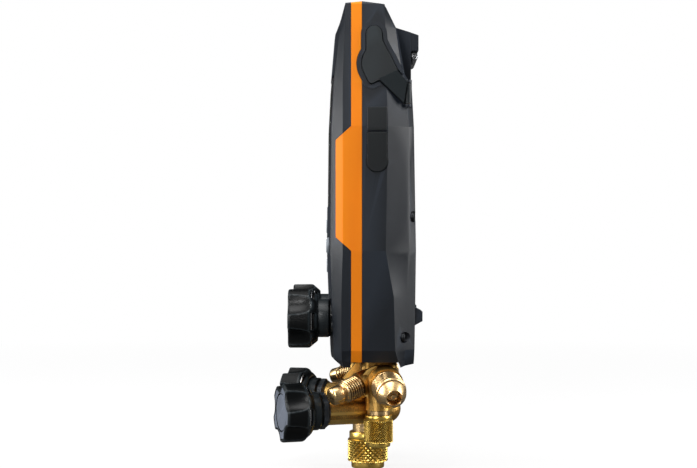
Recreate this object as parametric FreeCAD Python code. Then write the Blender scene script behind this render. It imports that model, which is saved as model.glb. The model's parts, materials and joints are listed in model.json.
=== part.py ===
import FreeCAD, Part
import math
import os

from FreeCAD import Placement, Rotation, Vector

# Digital four-valve refrigerant manifold. Millimetres. The display faces -Y, +Z is up, and the
# origin lies under the middle of the part, level with the bottom of the large knurled cap.

# Housing
HOUSING_TOP = 235.0
HOUSING_FLOOR = 59.9
CHIN_BOTTOM = 57.3
WALL = 2.5
HALF_WIDTH = 52.0
FRONT_EDGE_INSET = 6.0
FRONT_CROWN = 2.4
REAR_FACET_INSET = 6.0
REAR_EDGE_INSET = 10.0
TOP_RIDGE_DROP = 1.3
FRONT_CHIN_END = 0.9
REAR_CHIN_START = 25.2
REAR_CHIN_RISE = 1.7

PANEL_TOP = HOUSING_TOP - 61.2
PANEL_BOTTOM = 114.0
COVER_TILT_LOW = HOUSING_TOP - 40.7
COVER_TILT_HIGH = HOUSING_TOP - 12.8

# Height, width lost at each side, front centre, side face front and rear, rear facet, rear face
HOUSING_LEVELS = [
    (CHIN_BOTTOM, 9.0, -5.6, -2.4, 25.5, 27.6, 32.0),
    (60.7, 6.8, -9.2, -3.2, 24.0, 27.7, 32.2),
    (65.7, 4.5, -9.5, -3.4, 22.5, 27.8, 32.3),
    (91.5, 2.0, -10.4, -3.4, 21.8, 28.2, 32.6),
    (PANEL_BOTTOM, 0.0, -11.2, -2.8, 17.8, 29.2, 32.8),
    (PANEL_TOP, 0.0, -10.6, -2.8, 18.9, 29.2, 31.8),
    (COVER_TILT_LOW, 2.5, -9.6, -2.8, 18.3, 28.3, 30.8),
    (HOUSING_TOP - 35.0, 3.1, -9.1, -2.6, 18.2, 26.0, 27.5),
    (COVER_TILT_HIGH, 5.5, -7.2, -1.9, 17.8, 22.9, 23.7),
    (HOUSING_TOP - 1.4, 7.0, -2.2, -1.6, 17.4, 17.7, 18.3),
    (HOUSING_TOP, 8.6, -1.9, -1.3, 16.6, 16.9, 17.4),
]

# Middle band with its side panels
BAND_FRONT = 1.2
BAND_REAR = 6.5
PANEL_FRONT = -6.2
PANEL_SLOPE = 6.5

# Display, keys and sight glass on the front
WINDOW_WIDTH = 78.0
WINDOW_BOTTOM = 136.0
WINDOW_TOP = HOUSING_TOP - 35.0
WINDOW_THICKNESS = 1.2
WINDOW_RECESS = 0.3
WINDOW_LEDGE = 2.0
FRAME_GAP = 0.15
SEAT_GAP = 0.05
KEY_CENTRE_Z = 116.0
KEY_PITCH = 10.0
SIDE_KEY_X = 27.0
SIDE_KEY_WIDTH = 18.0
SIDE_KEY_HEIGHT = 9.0
MIDDLE_KEY_WIDTH = 17.0
MIDDLE_KEY_HEIGHT = 7.0
KEY_PROUD = 0.2
KEY_TRAVEL = 0.8
KEY_GAP = 0.35
KEY_LENGTH = 5.0
KEY_FLANGE = 1.2
SIGHT_RADIUS = 8.0
SIGHT_RING_RADIUS = 10.5
SIGHT_GLASS_THICKNESS = 2.6
SIGHT_RING_PROUD = 0.6
SIGHT_BOSS_RADIUS = 10.0
SIGHT_SEAT_Y = -6.6
SIGHT_BORE = 6.0

# Electronics and power
BOARD_Y = -0.6
BOARD_THICKNESS = 1.6
BOARD_WIDTH = 76.0
BOARD_BOTTOM = 98.0
BOARD_TOP = HOUSING_TOP - 24.0
POST_INSET = 4.0
POST_RADIUS = 2.6
MODULE_THICKNESS = 4.0
MODULE_MARGIN = 1.0
KEYPAD_THICKNESS = 4.1
CELL_DIAMETER = 14.5
CELL_LENGTH = 50.5
CELL_COUNT = 4
CELL_GAP = 0.5
CELL_BOTTOM = 99.5
CELL_Y = 21.8
CELL_NUB_RADIUS = 2.7
TRAY_REAR = 29.3
TRAY_WALL = 1.4
TRAY_GAP = 0.3
DOOR_WIDTH = 66.0
DOOR_BOTTOM = 95.0
DOOR_TOP = 154.0
DOOR_THICKNESS = 2.2
DOOR_GAP = 0.4
DOOR_LEDGE = 1.8
DOOR_GRIP_HALF = 11.0
DOOR_GRIP_Y = 34.0
DOOR_GRIP_RADIUS = 2.3

# Valves, measured along each valve's own axis from its root in the brass block
KNOB_RADIUS = 14.6
KNOB_LENGTH = 14.6
KNOB_BEVEL = 4.0
KNOB_EDGE = 1.2
KNOB_CAVITY_DEPTH = 3.0
KNOB_LOBES = 5
SCALLOP_RADIUS = 9.0
SCALLOP_DEPTH = 2.8
SCALLOP_LENGTH = 11.5
SCALLOP_START = 29.0
DISC_RADIUS = 8.6
DISC_GROOVE = 0.6
COLLAR_RADIUS = 9.4
COLLAR_CHAMFER = 1.6
COLLAR_OVERLAP = 2.4
COLLAR_GAP = 0.5
COLLAR_SOCKET = 4.0
SLEEVE_END_COVER = 4.0
STEM_LENGTH = 13.0
ARM_RADIUS = 7.2
RISER_RADIUS = 6.6
SLEEVE_RADIUS = 5.0
STEM_RADIUS = 2.5
PISTON_RADIUS = 4.0
PISTON_LENGTH = 8.0
SEAT_DEPTH = 4.0
VALVE_TRAVEL = 1.6
RUNNING_GAP = 0.05
END_GAP = 0.4

UPPER_VALVE_X = 30.0
UPPER_VALVE_Z = 80.5
UPPER_VALVE_ROOT_Y = 10.0
UPPER_KNOB_FACE_Y = -29.7
LOWER_VALVE_X = 25.0
LOWER_VALVE_Z = 34.9
LOWER_VALVE_ROOT_Y = 8.0
LOWER_SPLAY = 18.0
LOWER_KNOB_FACE = 43.4
LOWER_ARM_VISIBLE = 20.0
UPPER_COLLAR_START = 15.0
ARM_TAIL = 11.5

# Brass block
GALLERY_RADIUS = 8.6
GALLERY_HALF = 41.0
GALLERY_Y = 14.5
GALLERY_Z = 49.2
NECK_HALF = 36.0
NECK_FRONT = 6.0
NECK_REAR = 23.5
NECK_TOP = 66.0
NECK_CORNER = 4.0
UPPER_GALLERY_RADIUS = 9.0
PILLAR_HALF = 8.0
WEB_THICKNESS = 6.0
HOUSING_CLEARANCE = 0.4

# Side connections, 5/8-18 flare, leaning down and to the rear
SIDE_ROOT = Vector(41.0, 17.8, 49.6)
SIDE_TIP = Vector(59.0, 21.7, 44.2)
SIDE_THREAD_RADIUS = 7.94
SIDE_NOSE_RADIUS = 7.0
SIDE_NOSE_LENGTH = 5.6
SIDE_BOSS_RADIUS = 8.5
SIDE_BOSS_LENGTH = 3.0
SIDE_BORE_RADIUS = 3.6
SIDE_BORE_DEPTH = 13.0
CORE_WEB = 2.0
CORE_PIN_RADIUS = 1.2
CORE_HEAD_RADIUS = 2.3
CORE_TRAVEL = 1.5

# Hose-parking stubs, 7/16-20 flare
STUB_ROOT = Vector(36.0, 8.5, 49.3)
STUB_END = Vector(47.3, -8.65, 43.27)
STUB_THREAD_RADIUS = 5.55
STUB_NOSE_RADIUS = 4.4
STUB_NOSE_LENGTH = 5.5
STUB_COLLAR_RADIUS = 6.3
STUB_COLLAR_LENGTH = 4.5
STUB_RELIEF_LENGTH = 2.1
THREAD_RELIEF = 0.6

# Bottom connections and their knurled caps
SMALL_PORT_X = 37.5
SMALL_PORT_Y = 14.6
SMALL_PORT_RADIUS = 5.55
SMALL_BOSS_RADIUS = 6.2
SMALL_CAP_TOP = 33.7
SMALL_CAP_BOTTOM = 18.2
SMALL_CAP_RADIUS = 7.15
LARGE_PORT_X = -10.0
LARGE_PORT_Y = 10.1
LARGE_PORT_RADIUS = 7.94
LARGE_BOSS_RADIUS = 9.0
LARGE_CAP_TOP = 19.0
LARGE_CAP_BOTTOM = 0.0
LARGE_CAP_RADIUS = 10.5
CAP_THREAD_GAP = 0.3
CAP_FLOOR = 1.6
CAP_RIM_SHARE = 0.92
CAP_LIP_SHARE = 0.82
SMALL_CAP_RIM = 1.9
SMALL_CAP_LIP = 2.0
LARGE_CAP_RIM = 3.6
LARGE_CAP_LIP = 3.3
SENSOR_HEX = 7.0
SENSOR_NUT = 3.0
SENSOR_CAN = 4.5
PORT_NOSE = 2.5
PORT_BORE_SHARE = 2.2
SEAL_THICKNESS = 0.8
SMALL_NECK_LENGTH = 2.5
LARGE_NECK_LENGTH = 6.0

# Probe sockets under rubber covers, one at each side
STRAP_ROOT_LOW = (15.2, HOUSING_TOP - 38.9)
STRAP_ROOT_HIGH = (23.8, HOUSING_TOP - 34.8)
STRAP_END_LOW = (26.5, HOUSING_TOP - 49.6)
STRAP_END_HIGH = (28.0, HOUSING_TOP - 39.4)
COVER_TAB_Y = 12.35
COVER_TAB_Z = HOUSING_TOP - 16.2
COVER_TAB_RADIUS = 3.7
COVER_PROUD = 1.3
COVER_THICKNESS = 2.2
COVER_GAP = 0.3
STRAP_GAP = 0.9
CAP_GAP = 0.5
PAD_MARGIN = 2.6
PAD_PROUD = 0.3
PROBE_Y = 13.4
PROBE_Z = HOUSING_TOP - 31.0
PROBE_RADIUS = 5.4
PROBE_DEPTH = 9.0
PROBE_WALL = 1.3
PROBE_PINS = 6
PROBE_PIN_RING = 3.2
PROBE_PIN_RADIUS = 0.5
STRAP_DROP = 4.2
STRAP_LAP = 1.2
ANCHOR_RADIUS = 1.0
ANCHOR_BOTTOM = HOUSING_TOP - 51.5
ANCHOR_TOP = HOUSING_TOP - 38.5
ANCHOR_INSET = 4.6
ANCHOR_Y = 28.6
EYE_RADIUS = 2.0
EAR_LENGTH = 1.4

# Small port cover at the right side
PORT_COVER_Y = 13.75
PORT_COVER_WIDTH = 9.4
PORT_COVER_TOP = PANEL_TOP - 2.9
PORT_COVER_TIP = PANEL_TOP - 22.0
PORT_COVER_THICKNESS = 1.9
PORT_COVER_PROUD = 0.9
PORT_ANCHOR_TOP = PANEL_TOP + 9.2
PORT_ANCHOR_BOTTOM = PANEL_TOP - 2.2
PORT_SOCKET_Z = PANEL_TOP - 10.8
PORT_SOCKET_WIDTH = 9.0
PORT_SOCKET_HEIGHT = 3.2
PORT_SOCKET_DEPTH = 7.0
SOCKET_WALL = 0.8

# Hanging hook at the upper rear
SPINE_HALF = 24.0
SPINE_REAR = 31.2
SPINE_TOP_FRONT = HOUSING_TOP - 9.6
SPINE_TOP_REAR = HOUSING_TOP - 12.3
BRACKET_REAR = 35.0
BRACKET_BOTTOM = HOUSING_TOP - 21.5
BRACKET_TOP_REAR = HOUSING_TOP - 13.6
HOOK_AXIS_Y = 33.1
HOOK_AXIS_Z = HOUSING_TOP - 23.6
HOOK_BARREL_RADIUS = 1.8
HOOK_PIN_RADIUS = 1.0
HOOK_BARREL_HALF = 14.0
HOOK_KNUCKLE_GAP = 0.3
HOOK_KNUCKLE_LENGTH = 6.0
HOOK_LINK_HALF = 4.0
HOOK_NECK_Z = HOUSING_TOP - 47.0
HOOK_SHOULDER_Z = HOUSING_TOP - 36.0
HOOK_SHANK_Y = 28.6
HOOK_THICKNESS = 2.4
HOOK_STRIP = 5.0
HOOK_BOWL_RADIUS = 7.0
HOOK_BOWL_Z = HOUSING_TOP - 61.0
HOOK_TIP_RISE = 5.0
HOOK_NOTCH_GAP = 0.6
RECESS_GAP = 1.4
RECESS_FLOOR = 26.4

# Rear feet, screws and their pockets
FOOT_X = 30.0
FOOT_HALF = 8.0
FOOT_Z = 81.8
FOOT_BASE_HALF = 4.7
FOOT_TIP_HALF = 2.3
FOOT_REAR = 36.2
SCREW_SPOTS = [(43.0, 130.4, 30.1), (43.0, 71.9, 25.6), (32.0, HOUSING_TOP - 14.0, 18.5)]
POCKET_RADIUS = 2.7
BOSS_WALL = 1.8
SCREW_HEAD_RADIUS = 2.4
SCREW_HEAD_HEIGHT = 1.6
SCREW_RADIUS = 1.3
SCREW_HOLE_GAP = 0.2
SCREW_LENGTH = 16.0

X_AXIS = Vector(1, 0, 0)
Y_AXIS = Vector(0, 1, 0)
Z_AXIS = Vector(0, 0, 1)
FAR = 200.0
ABOVE = HOUSING_TOP + 20.0
BELOW = HOUSING_FLOOR - 20.0


# Small helpers

def block(x0, x1, y0, y1, z0, z1):
    """Box between two corners."""
    return Part.makeBox(x1 - x0, y1 - y0, z1 - z0, Vector(x0, y0, z0))


def rod(start, axis, length, radius):
    """Round bar from a point along an axis."""
    return Part.makeCylinder(radius, length, start, axis)


def side_prism(points, x0, x1):
    """Solid with a side profile of (y, z) points, extruded along X."""
    corners = [Vector(x0, y, z) for y, z in points]
    face = Part.Face(Part.makePolygon(corners + corners[:1]))
    return face.extrude(Vector(x1 - x0, 0, 0))


def turned(profile, origin, axis, up=Z_AXIS):
    """Turned solid: (along, radius) points revolved about an axis through the origin point."""
    corners = [Vector(radius, 0, along) for along, radius in profile]
    face = Part.Face(Part.makePolygon(corners + corners[:1]))
    solid = face.revolve(Vector(0, 0, 0), Z_AXIS, 360)
    return placed(solid, origin, axis, up)


def placed(shape, origin, axis, up=Z_AXIS):
    """Copy of a shape with its Z turned to the axis, its Y towards up, and its origin moved."""
    moved = shape.copy()
    moved.Placement = Placement(origin, Rotation(Vector(0, 0, 0), up, axis, "ZYX"))
    return moved


def placed_by(shape, placement):
    """Copy of a shape moved by a placement."""
    moved = shape.copy()
    moved.Placement = placement.multiply(moved.Placement)
    return moved


def mirrored(shape):
    """The same piece at the left side."""
    return shape.mirror(Vector(0, 0, 0), X_AXIS)


def fused(shapes):
    """One solid from several, with its seams cleaned."""
    return shapes[0].multiFuse(shapes[1:]).removeSplitter()


def slot_face(y, z, width, height, x):
    """Upright slot outline with round ends, in a plane across X."""
    radius = height / 2
    reach = width / 2 - radius
    top = z + radius
    low = z - radius
    edges = [
        Part.LineSegment(Vector(x, y - reach, top), Vector(x, y + reach, top)).toShape(),
        Part.Arc(Vector(x, y + reach, top), Vector(x, y + reach + radius, z),
                 Vector(x, y + reach, low)).toShape(),
        Part.LineSegment(Vector(x, y + reach, low), Vector(x, y - reach, low)).toShape(),
        Part.Arc(Vector(x, y - reach, low), Vector(x, y - reach - radius, z),
                 Vector(x, y - reach, top)).toShape(),
    ]
    return Part.Face(Part.Wire(edges))


# Housing

def section_at(height):
    """Section values at a height, worked out between the two levels around it."""
    for low, high in zip(HOUSING_LEVELS, HOUSING_LEVELS[1:]):
        if low[0] <= height <= high[0]:
            share = (height - low[0]) / (high[0] - low[0])
            return [a + (b - a) * share for a, b in zip(low, high)]
    raise ValueError("height outside the housing")


def side_x(height):
    """Half width of the housing's side face at a height."""
    return HALF_WIDTH - section_at(height)[1]


def section_wire(level, inset):
    """Closed outline of the housing at one level, moved inwards by the inset."""
    height, loss, front, side_front, side_rear, facet_rear, rear = level
    half = HALF_WIDTH - loss - inset
    edge = half - FRONT_EDGE_INSET
    front_edge = min(front + FRONT_CROWN, side_front - 0.3)
    crown = front_edge - front
    right = []
    for share in (0.0, 0.5, 1.0):
        right.append(Vector(edge * share, front + inset + crown * share ** 2, height))
    right.append(Vector(half, side_front + inset * 0.4, height))
    right.append(Vector(half, side_rear - inset * 0.4, height))
    right.append(Vector(half - REAR_FACET_INSET + inset * 0.3, facet_rear - inset * 0.8, height))
    right.append(Vector(half - REAR_EDGE_INSET + inset * 0.5, rear - inset, height))
    left = [Vector(-point.x, point.y, point.z) for point in reversed(right[1:])]
    return Part.makePolygon(right + left + right[:1])


def housing_loft(inset, floor, ceiling):
    """Faceted body between two heights."""
    between = [level for level in HOUSING_LEVELS if floor < level[0] < ceiling]
    levels = [section_at(floor)] + between + [section_at(ceiling)]
    return Part.makeLoft([section_wire(level, inset) for level in levels], True, True)


def top_trim():
    """Waste above the top, which falls away from a ridge at the band's rear edge."""
    front_low = HOUSING_TOP - TOP_RIDGE_DROP
    rear_low = HOUSING_TOP - TOP_RIDGE_DROP * 1.4
    points = [(-20, front_low - 2.0), (BAND_REAR, HOUSING_TOP), (18, rear_low), (40, rear_low - 4.0),
              (40, ABOVE), (-20, ABOVE)]
    return side_prism(points, -FAR, FAR)


def bottom_trim():
    """Waste between the two chins, and below the slope of the rear one."""
    middle = block(-FAR, FAR, FRONT_CHIN_END, REAR_CHIN_START, CHIN_BOTTOM - 5, HOUSING_FLOOR)
    rise = CHIN_BOTTOM + REAR_CHIN_RISE
    points = [(REAR_CHIN_START, CHIN_BOTTOM), (40, rise + 0.3), (40, BELOW), (REAR_CHIN_START, BELOW)]
    return middle.fuse(side_prism(points, -FAR, FAR))


def band_tool(grow=0.0):
    """Region of the middle band: a strip all round, wider at the side panels."""
    points = [
        (BAND_FRONT - grow, BELOW), (BAND_FRONT - grow, PANEL_BOTTOM),
        (PANEL_FRONT - grow, PANEL_BOTTOM + PANEL_SLOPE), (PANEL_FRONT - grow, PANEL_TOP - PANEL_SLOPE),
        (BAND_FRONT - grow, PANEL_TOP), (BAND_FRONT - grow, ABOVE),
        (BAND_REAR + grow, ABOVE), (BAND_REAR + grow, BELOW),
    ]
    return side_prism(points, -FAR, FAR)


def cover_frame():
    """Placement of a side cover: X up the tilted side face, Y forwards, Z out of it."""
    low_x = side_x(COVER_TILT_LOW)
    high_x = side_x(COVER_TILT_HIGH)
    tilt = math.atan2(low_x - high_x, COVER_TILT_HIGH - COVER_TILT_LOW)
    out = Vector(math.cos(tilt), 0, math.sin(tilt))
    along = Vector(-math.sin(tilt), 0, math.cos(tilt))
    return Placement(Vector(low_x, 0, COVER_TILT_LOW), Rotation(along, Vector(0, -1, 0), out, "ZXY"))


def on_cover(y, z, lift=0.0):
    """Point of the side cover's own plane for a depth and a height of the part."""
    return Vector(z - COVER_TILT_LOW, -y, lift)


def cover_outline(margin=0.0):
    """Outline of the probe cover: a round tab, a bulge over the socket and the strap's root."""
    bulge = [on_cover(8.65, HOUSING_TOP - 24.6), on_cover(6.5, HOUSING_TOP - 31.2),
             on_cover(7.6, HOUSING_TOP - 35.6)]
    foot = [on_cover(9.9, HOUSING_TOP - 40.2), on_cover(11.2, HOUSING_TOP - 40.8), on_cover(*STRAP_ROOT_LOW),
            on_cover(*STRAP_ROOT_HIGH)]
    shoulder = [on_cover(20.4, HOUSING_TOP - 27.6), on_cover(18.6, HOUSING_TOP - 24.4),
                on_cover(16.3, HOUSING_TOP - 19.8)]
    tab_left = on_cover(COVER_TAB_Y - COVER_TAB_RADIUS, COVER_TAB_Z)
    tab_top = on_cover(COVER_TAB_Y, COVER_TAB_Z + COVER_TAB_RADIUS)
    tab_right = on_cover(COVER_TAB_Y + COVER_TAB_RADIUS, COVER_TAB_Z)
    edges = [Part.LineSegment(tab_left, bulge[0]).toShape(), Part.Arc(*bulge).toShape()]
    path = bulge[2:] + foot + shoulder + [tab_right]
    for start, end in zip(path, path[1:]):
        edges.append(Part.LineSegment(start, end).toShape())
    edges.append(Part.Arc(tab_right, tab_top, tab_left).toShape())
    face = Part.Face(Part.Wire(edges))
    if margin:
        face = face.makeOffset2D(margin)
    return face


def cover_slab(margin, low, high):
    """Slab of the cover's outline between two heights above the right side face."""
    face = cover_outline(margin)
    face.translate(Vector(0, 0, low))
    return placed_by(face.extrude(Vector(0, 0, high - low)), cover_frame())


def probe_axis():
    """Mouth of the right probe socket and the direction out of it."""
    frame = cover_frame()
    return frame.multVec(on_cover(PROBE_Y, PROBE_Z)), frame.Rotation.multVec(Z_AXIS)


def pockets():
    """Screw pockets that run in from the rear."""
    cuts = []
    for x, z, floor_y in SCREW_SPOTS:
        for sign in (1, -1):
            cuts.append(rod(Vector(sign * x, floor_y, z), Y_AXIS, 20, POCKET_RADIUS))
    return cuts


def front_y(x, z):
    """Depth of the crowned front face at a point."""
    level = section_at(z)
    edge = side_x(z) - FRONT_EDGE_INSET
    crown = min(level[2] + FRONT_CROWN, level[3] - 0.3) - level[2]
    return level[2] + crown * (x / edge) ** 2


def front_layer(outside, inside, x0, x1, z0, z1):
    """Piece of the front wall between two depths, inside a rectangle."""
    floor = z0 - 1.0
    ceiling = z1 + 1.0
    layer = housing_loft(outside, floor, ceiling).cut(housing_loft(inside, floor, ceiling))
    return layer.common(block(x0, x1, -FAR, BAND_FRONT - WALL, z0, z1))


KEYS = {
    "key_left": (-SIDE_KEY_X, KEY_CENTRE_Z, SIDE_KEY_WIDTH, SIDE_KEY_HEIGHT),
    "key_right": (SIDE_KEY_X, KEY_CENTRE_Z, SIDE_KEY_WIDTH, SIDE_KEY_HEIGHT),
    "key_up": (0.0, KEY_CENTRE_Z + KEY_PITCH, MIDDLE_KEY_WIDTH, MIDDLE_KEY_HEIGHT),
    "key_enter": (0.0, KEY_CENTRE_Z, MIDDLE_KEY_WIDTH, MIDDLE_KEY_HEIGHT),
    "key_down": (0.0, KEY_CENTRE_Z - KEY_PITCH, MIDDLE_KEY_WIDTH, MIDDLE_KEY_HEIGHT),
}


def key_slot(x, z, width, height, y0, y1):
    """Bar with the slot outline of a key, running back from the front."""
    face = slot_face(0, 0, width, height, 0)
    bar = face.extrude(Vector(y1 - y0, 0, 0))
    bar.Placement = Placement(Vector(x, y0, z), Rotation(Y_AXIS, X_AXIS.negative(), Z_AXIS, "ZXY"))
    return bar


def key(x, z, width, height):
    """Key with a flange behind the front wall that keeps it in."""
    face_y = front_y(x, z) - KEY_PROUD
    outermost = abs(x) + width / 2 + KEY_FLANGE
    flange_y = front_y(outermost, z) + WALL + END_GAP
    stem = key_slot(x, z, width, height, face_y, flange_y)
    flange = key_slot(x, z, width + 2 * KEY_FLANGE, height + 2 * KEY_FLANGE, flange_y, flange_y + KEY_FLANGE)
    return fused([stem, flange])


def door_region(gap):
    """Box of the battery door's outline, opened by a gap."""
    half = DOOR_WIDTH / 2 + gap
    return block(-half, half, BAND_REAR, 60, DOOR_BOTTOM - gap, DOOR_TOP + gap)


def rear_layer(outside, inside, region):
    """Piece of the rear wall between two depths, inside a region."""
    floor = DOOR_BOTTOM - 3
    ceiling = DOOR_TOP + 3
    return housing_loft(outside, floor, ceiling).cut(housing_loft(inside, floor, ceiling)).common(region)


def hook_recess():
    """Space in the rear that takes the folded hook."""
    half = HOOK_BOWL_RADIUS + HOOK_STRIP + RECESS_GAP
    low = HOOK_BOWL_Z - HOOK_BOWL_RADIUS - HOOK_STRIP - RECESS_GAP
    return block(-half, half, RECESS_FLOOR, 60, low, BRACKET_BOTTOM)


def recess_backing():
    """Walls round the hook's recess inside the rear shell."""
    space = hook_recess().BoundBox
    return block(space.XMin - WALL, space.XMax + WALL, RECESS_FLOOR - WALL, SPINE_REAR - 0.5,
                 space.ZMin - WALL, space.ZMax)


def spine():
    """Raised back of the rear shell that carries the hook."""
    points = [(20, SPINE_TOP_FRONT + 0.8), (SPINE_REAR, SPINE_TOP_REAR), (SPINE_REAR, HOUSING_TOP - 43.0),
              (28.0, HOUSING_TOP - 49.0), (20, HOUSING_TOP - 49.0)]
    return side_prism(points, -SPINE_HALF, SPINE_HALF)


def rear_foot(sign):
    """Foot of the rear shell: a bar with sloping sides."""
    base = 30.0
    points = [(base, FOOT_Z + FOOT_BASE_HALF + 1.0), (FOOT_REAR, FOOT_Z + FOOT_TIP_HALF),
              (FOOT_REAR, FOOT_Z - FOOT_TIP_HALF), (base, FOOT_Z - FOOT_BASE_HALF - 1.0)]
    return side_prism(points, sign * FOOT_X - FOOT_HALF, sign * FOOT_X + FOOT_HALF)


def valve_passage():
    """Openings that the brass block and its collars pass through."""
    grow = HOUSING_CLEARANCE
    neck = block(-NECK_HALF - grow, NECK_HALF + grow, NECK_FRONT - grow, NECK_REAR + grow, BELOW,
                 HOUSING_FLOOR + WALL + 1)
    holes = [neck]
    for sign in (1, -1):
        start = Vector(sign * UPPER_VALVE_X, 0, UPPER_VALVE_Z)
        holes.append(rod(start, Y_AXIS.negative(), 40, COLLAR_RADIUS + grow))
    holes.append(rod(Vector(0, 0, UPPER_VALVE_Z), Y_AXIS.negative(), 40, SIGHT_RING_RADIUS + grow))
    return Part.makeCompound(holes)


def port_anchor():
    """Upper block of the small port cover, seated over the crease of the side face."""
    crease = side_x(PORT_ANCHOR_BOTTOM)
    high = side_x(PORT_ANCHOR_TOP)
    proud = PORT_COVER_PROUD
    back = crease - PORT_COVER_THICKNESS
    outline = [(back, PORT_ANCHOR_BOTTOM), (crease + proud, PORT_ANCHOR_BOTTOM), (crease + proud, PANEL_TOP),
               (high + proud, PORT_ANCHOR_TOP), (high - PORT_COVER_THICKNESS + proud, PORT_ANCHOR_TOP)]
    y0 = PORT_COVER_Y - PORT_COVER_WIDTH / 2
    corners = [Vector(x, y0, z) for x, z in outline]
    face = Part.Face(Part.makePolygon(corners + corners[:1]))
    return face.extrude(Vector(0, PORT_COVER_WIDTH, 0))


def port_cover(grow=0.0):
    """Swinging lower part of the small port cover, with a rounded tip."""
    half = PORT_COVER_WIDTH / 2 + grow
    shoulder = PORT_COVER_TIP + 7.2
    x = side_x(PORT_COVER_TOP) + PORT_COVER_PROUD
    y0 = PORT_COVER_Y - half
    y1 = PORT_COVER_Y + half
    top = PORT_COVER_TOP + grow
    tip = Vector(x, PORT_COVER_Y, PORT_COVER_TIP - grow)
    edges = [
        Part.LineSegment(Vector(x, y1, shoulder), Vector(x, y1, top)).toShape(),
        Part.LineSegment(Vector(x, y1, top), Vector(x, y0, top)).toShape(),
        Part.LineSegment(Vector(x, y0, top), Vector(x, y0, shoulder)).toShape(),
        Part.Arc(Vector(x, y0, shoulder), tip, Vector(x, y1, shoulder)).toShape(),
    ]
    face = Part.Face(Part.Wire(edges))
    return face.extrude(Vector(-PORT_COVER_THICKNESS - grow, 0, 0))


def housing_shells():
    """Front shell, middle band and rear shell, cut from one hollow faceted body."""
    outer = housing_loft(0.0, CHIN_BOTTOM, HOUSING_TOP).cut(top_trim()).cut(bottom_trim()).fuse(spine())
    inner = housing_loft(WALL, HOUSING_FLOOR + WALL, HOUSING_TOP - WALL - 2 * TOP_RIDGE_DROP)
    shell = outer.cut(inner).cut(valve_passage())
    pads = [cover_slab(PAD_MARGIN, -5.0, PAD_PROUD), mirrored(cover_slab(PAD_MARGIN, -5.0, PAD_PROUD))]
    band = shell.common(band_tool())
    front = shell.cut(band_tool()).cut(block(-FAR, FAR, BAND_REAR, FAR, BELOW, ABOVE))
    rear = shell.common(block(-FAR, FAR, BAND_REAR, FAR, BELOW, ABOVE))
    for pad in pads:
        band = band.cut(pad)
        rear = rear.fuse(pad)
    return finish_front(front).cut(band), band, finish_rear(rear, outer)


def finish_front(front):
    """Cut the window, the keys' holes and add the board's posts and the screw bosses."""
    half = WINDOW_WIDTH / 2
    seat = WINDOW_RECESS + WINDOW_THICKNESS
    opening = front_layer(-3.0, seat + SEAT_GAP, -half - FRAME_GAP, half + FRAME_GAP,
                          WINDOW_BOTTOM - FRAME_GAP, WINDOW_TOP + FRAME_GAP)
    hole = block(-half + WINDOW_LEDGE, half - WINDOW_LEDGE, -FAR, 0, WINDOW_BOTTOM + WINDOW_LEDGE,
                 WINDOW_TOP - WINDOW_LEDGE)
    front = front.cut(opening).cut(hole)
    for x, z, width, height in KEYS.values():
        front = front.cut(key_slot(x, z, width + 2 * KEY_GAP, height + 2 * KEY_GAP, -30, BAND_FRONT))
    posts = []
    for sign in (1, -1):
        for z in (BOARD_BOTTOM + POST_INSET, BOARD_TOP - POST_INSET):
            x = sign * (BOARD_WIDTH / 2 - POST_INSET)
            start_y = front_y(x, z) + WALL / 2
            posts.append(rod(Vector(x, start_y, z), Y_AXIS, BOARD_Y - start_y, POST_RADIUS))
        for x, z, floor_y in SCREW_SPOTS:
            start_y = front_y(x, z) + WALL / 2
            boss = rod(Vector(sign * x, start_y, z), Y_AXIS, BAND_REAR - start_y, POCKET_RADIUS + BOSS_WALL)
            boss = boss.common(housing_loft(WALL / 2, z - 8, z + 8))
            screw_hole = rod(Vector(sign * x, floor_y - SCREW_LENGTH, z), Y_AXIS, SCREW_LENGTH, SCREW_RADIUS)
            posts.append(boss.cut(screw_hole))
    return front.fuse(posts)


def finish_rear(rear, outer):
    """Add the hook's recess, feet and bosses, then cut the pockets, doors and sockets."""
    rear = rear.fuse([recess_backing().common(outer), rear_foot(1), rear_foot(-1)])
    bosses = []
    holes = []
    for x, z, floor_y in SCREW_SPOTS:
        for sign in (1, -1):
            length = floor_y - BAND_REAR + WALL
            boss = rod(Vector(sign * x, BAND_REAR, z), Y_AXIS, length, POCKET_RADIUS + BOSS_WALL)
            bosses.append(boss.common(housing_loft(WALL / 2, z - 8, z + 8)))
            holes.append(rod(Vector(sign * x, 0, z), Y_AXIS, floor_y + 1, SCREW_RADIUS + SCREW_HOLE_GAP))
    rear = rear.fuse(bosses).cut(pockets() + holes + [hook_recess()])
    opening = rear_layer(-3.0, DOOR_THICKNESS, door_region(DOOR_GAP))
    hole = door_region(-DOOR_LEDGE)
    rear = rear.cut([opening, hole, port_anchor(), port_cover(COVER_GAP), port_socket_body()])
    mouth, out = probe_axis()
    for turn in (lambda shape: shape, mirrored):
        recess = cover_slab(CAP_GAP, PAD_PROUD + COVER_PROUD - COVER_THICKNESS - COVER_GAP, 5.0)
        hole = rod(mouth + out * 5, out.negative(), 30, PROBE_RADIUS + PROBE_WALL)
        groove = pin_line(ANCHOR_BOTTOM, ANCHOR_TOP, EYE_RADIUS + COVER_GAP)
        rear = rear.cut([turn(recess), turn(hole), turn(strap(STRAP_GAP)), turn(groove)])
        rear = rear.fuse([turn(ear) for ear in pin_ears()]).cut(turn(cover_pin()))
    return rear


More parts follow.
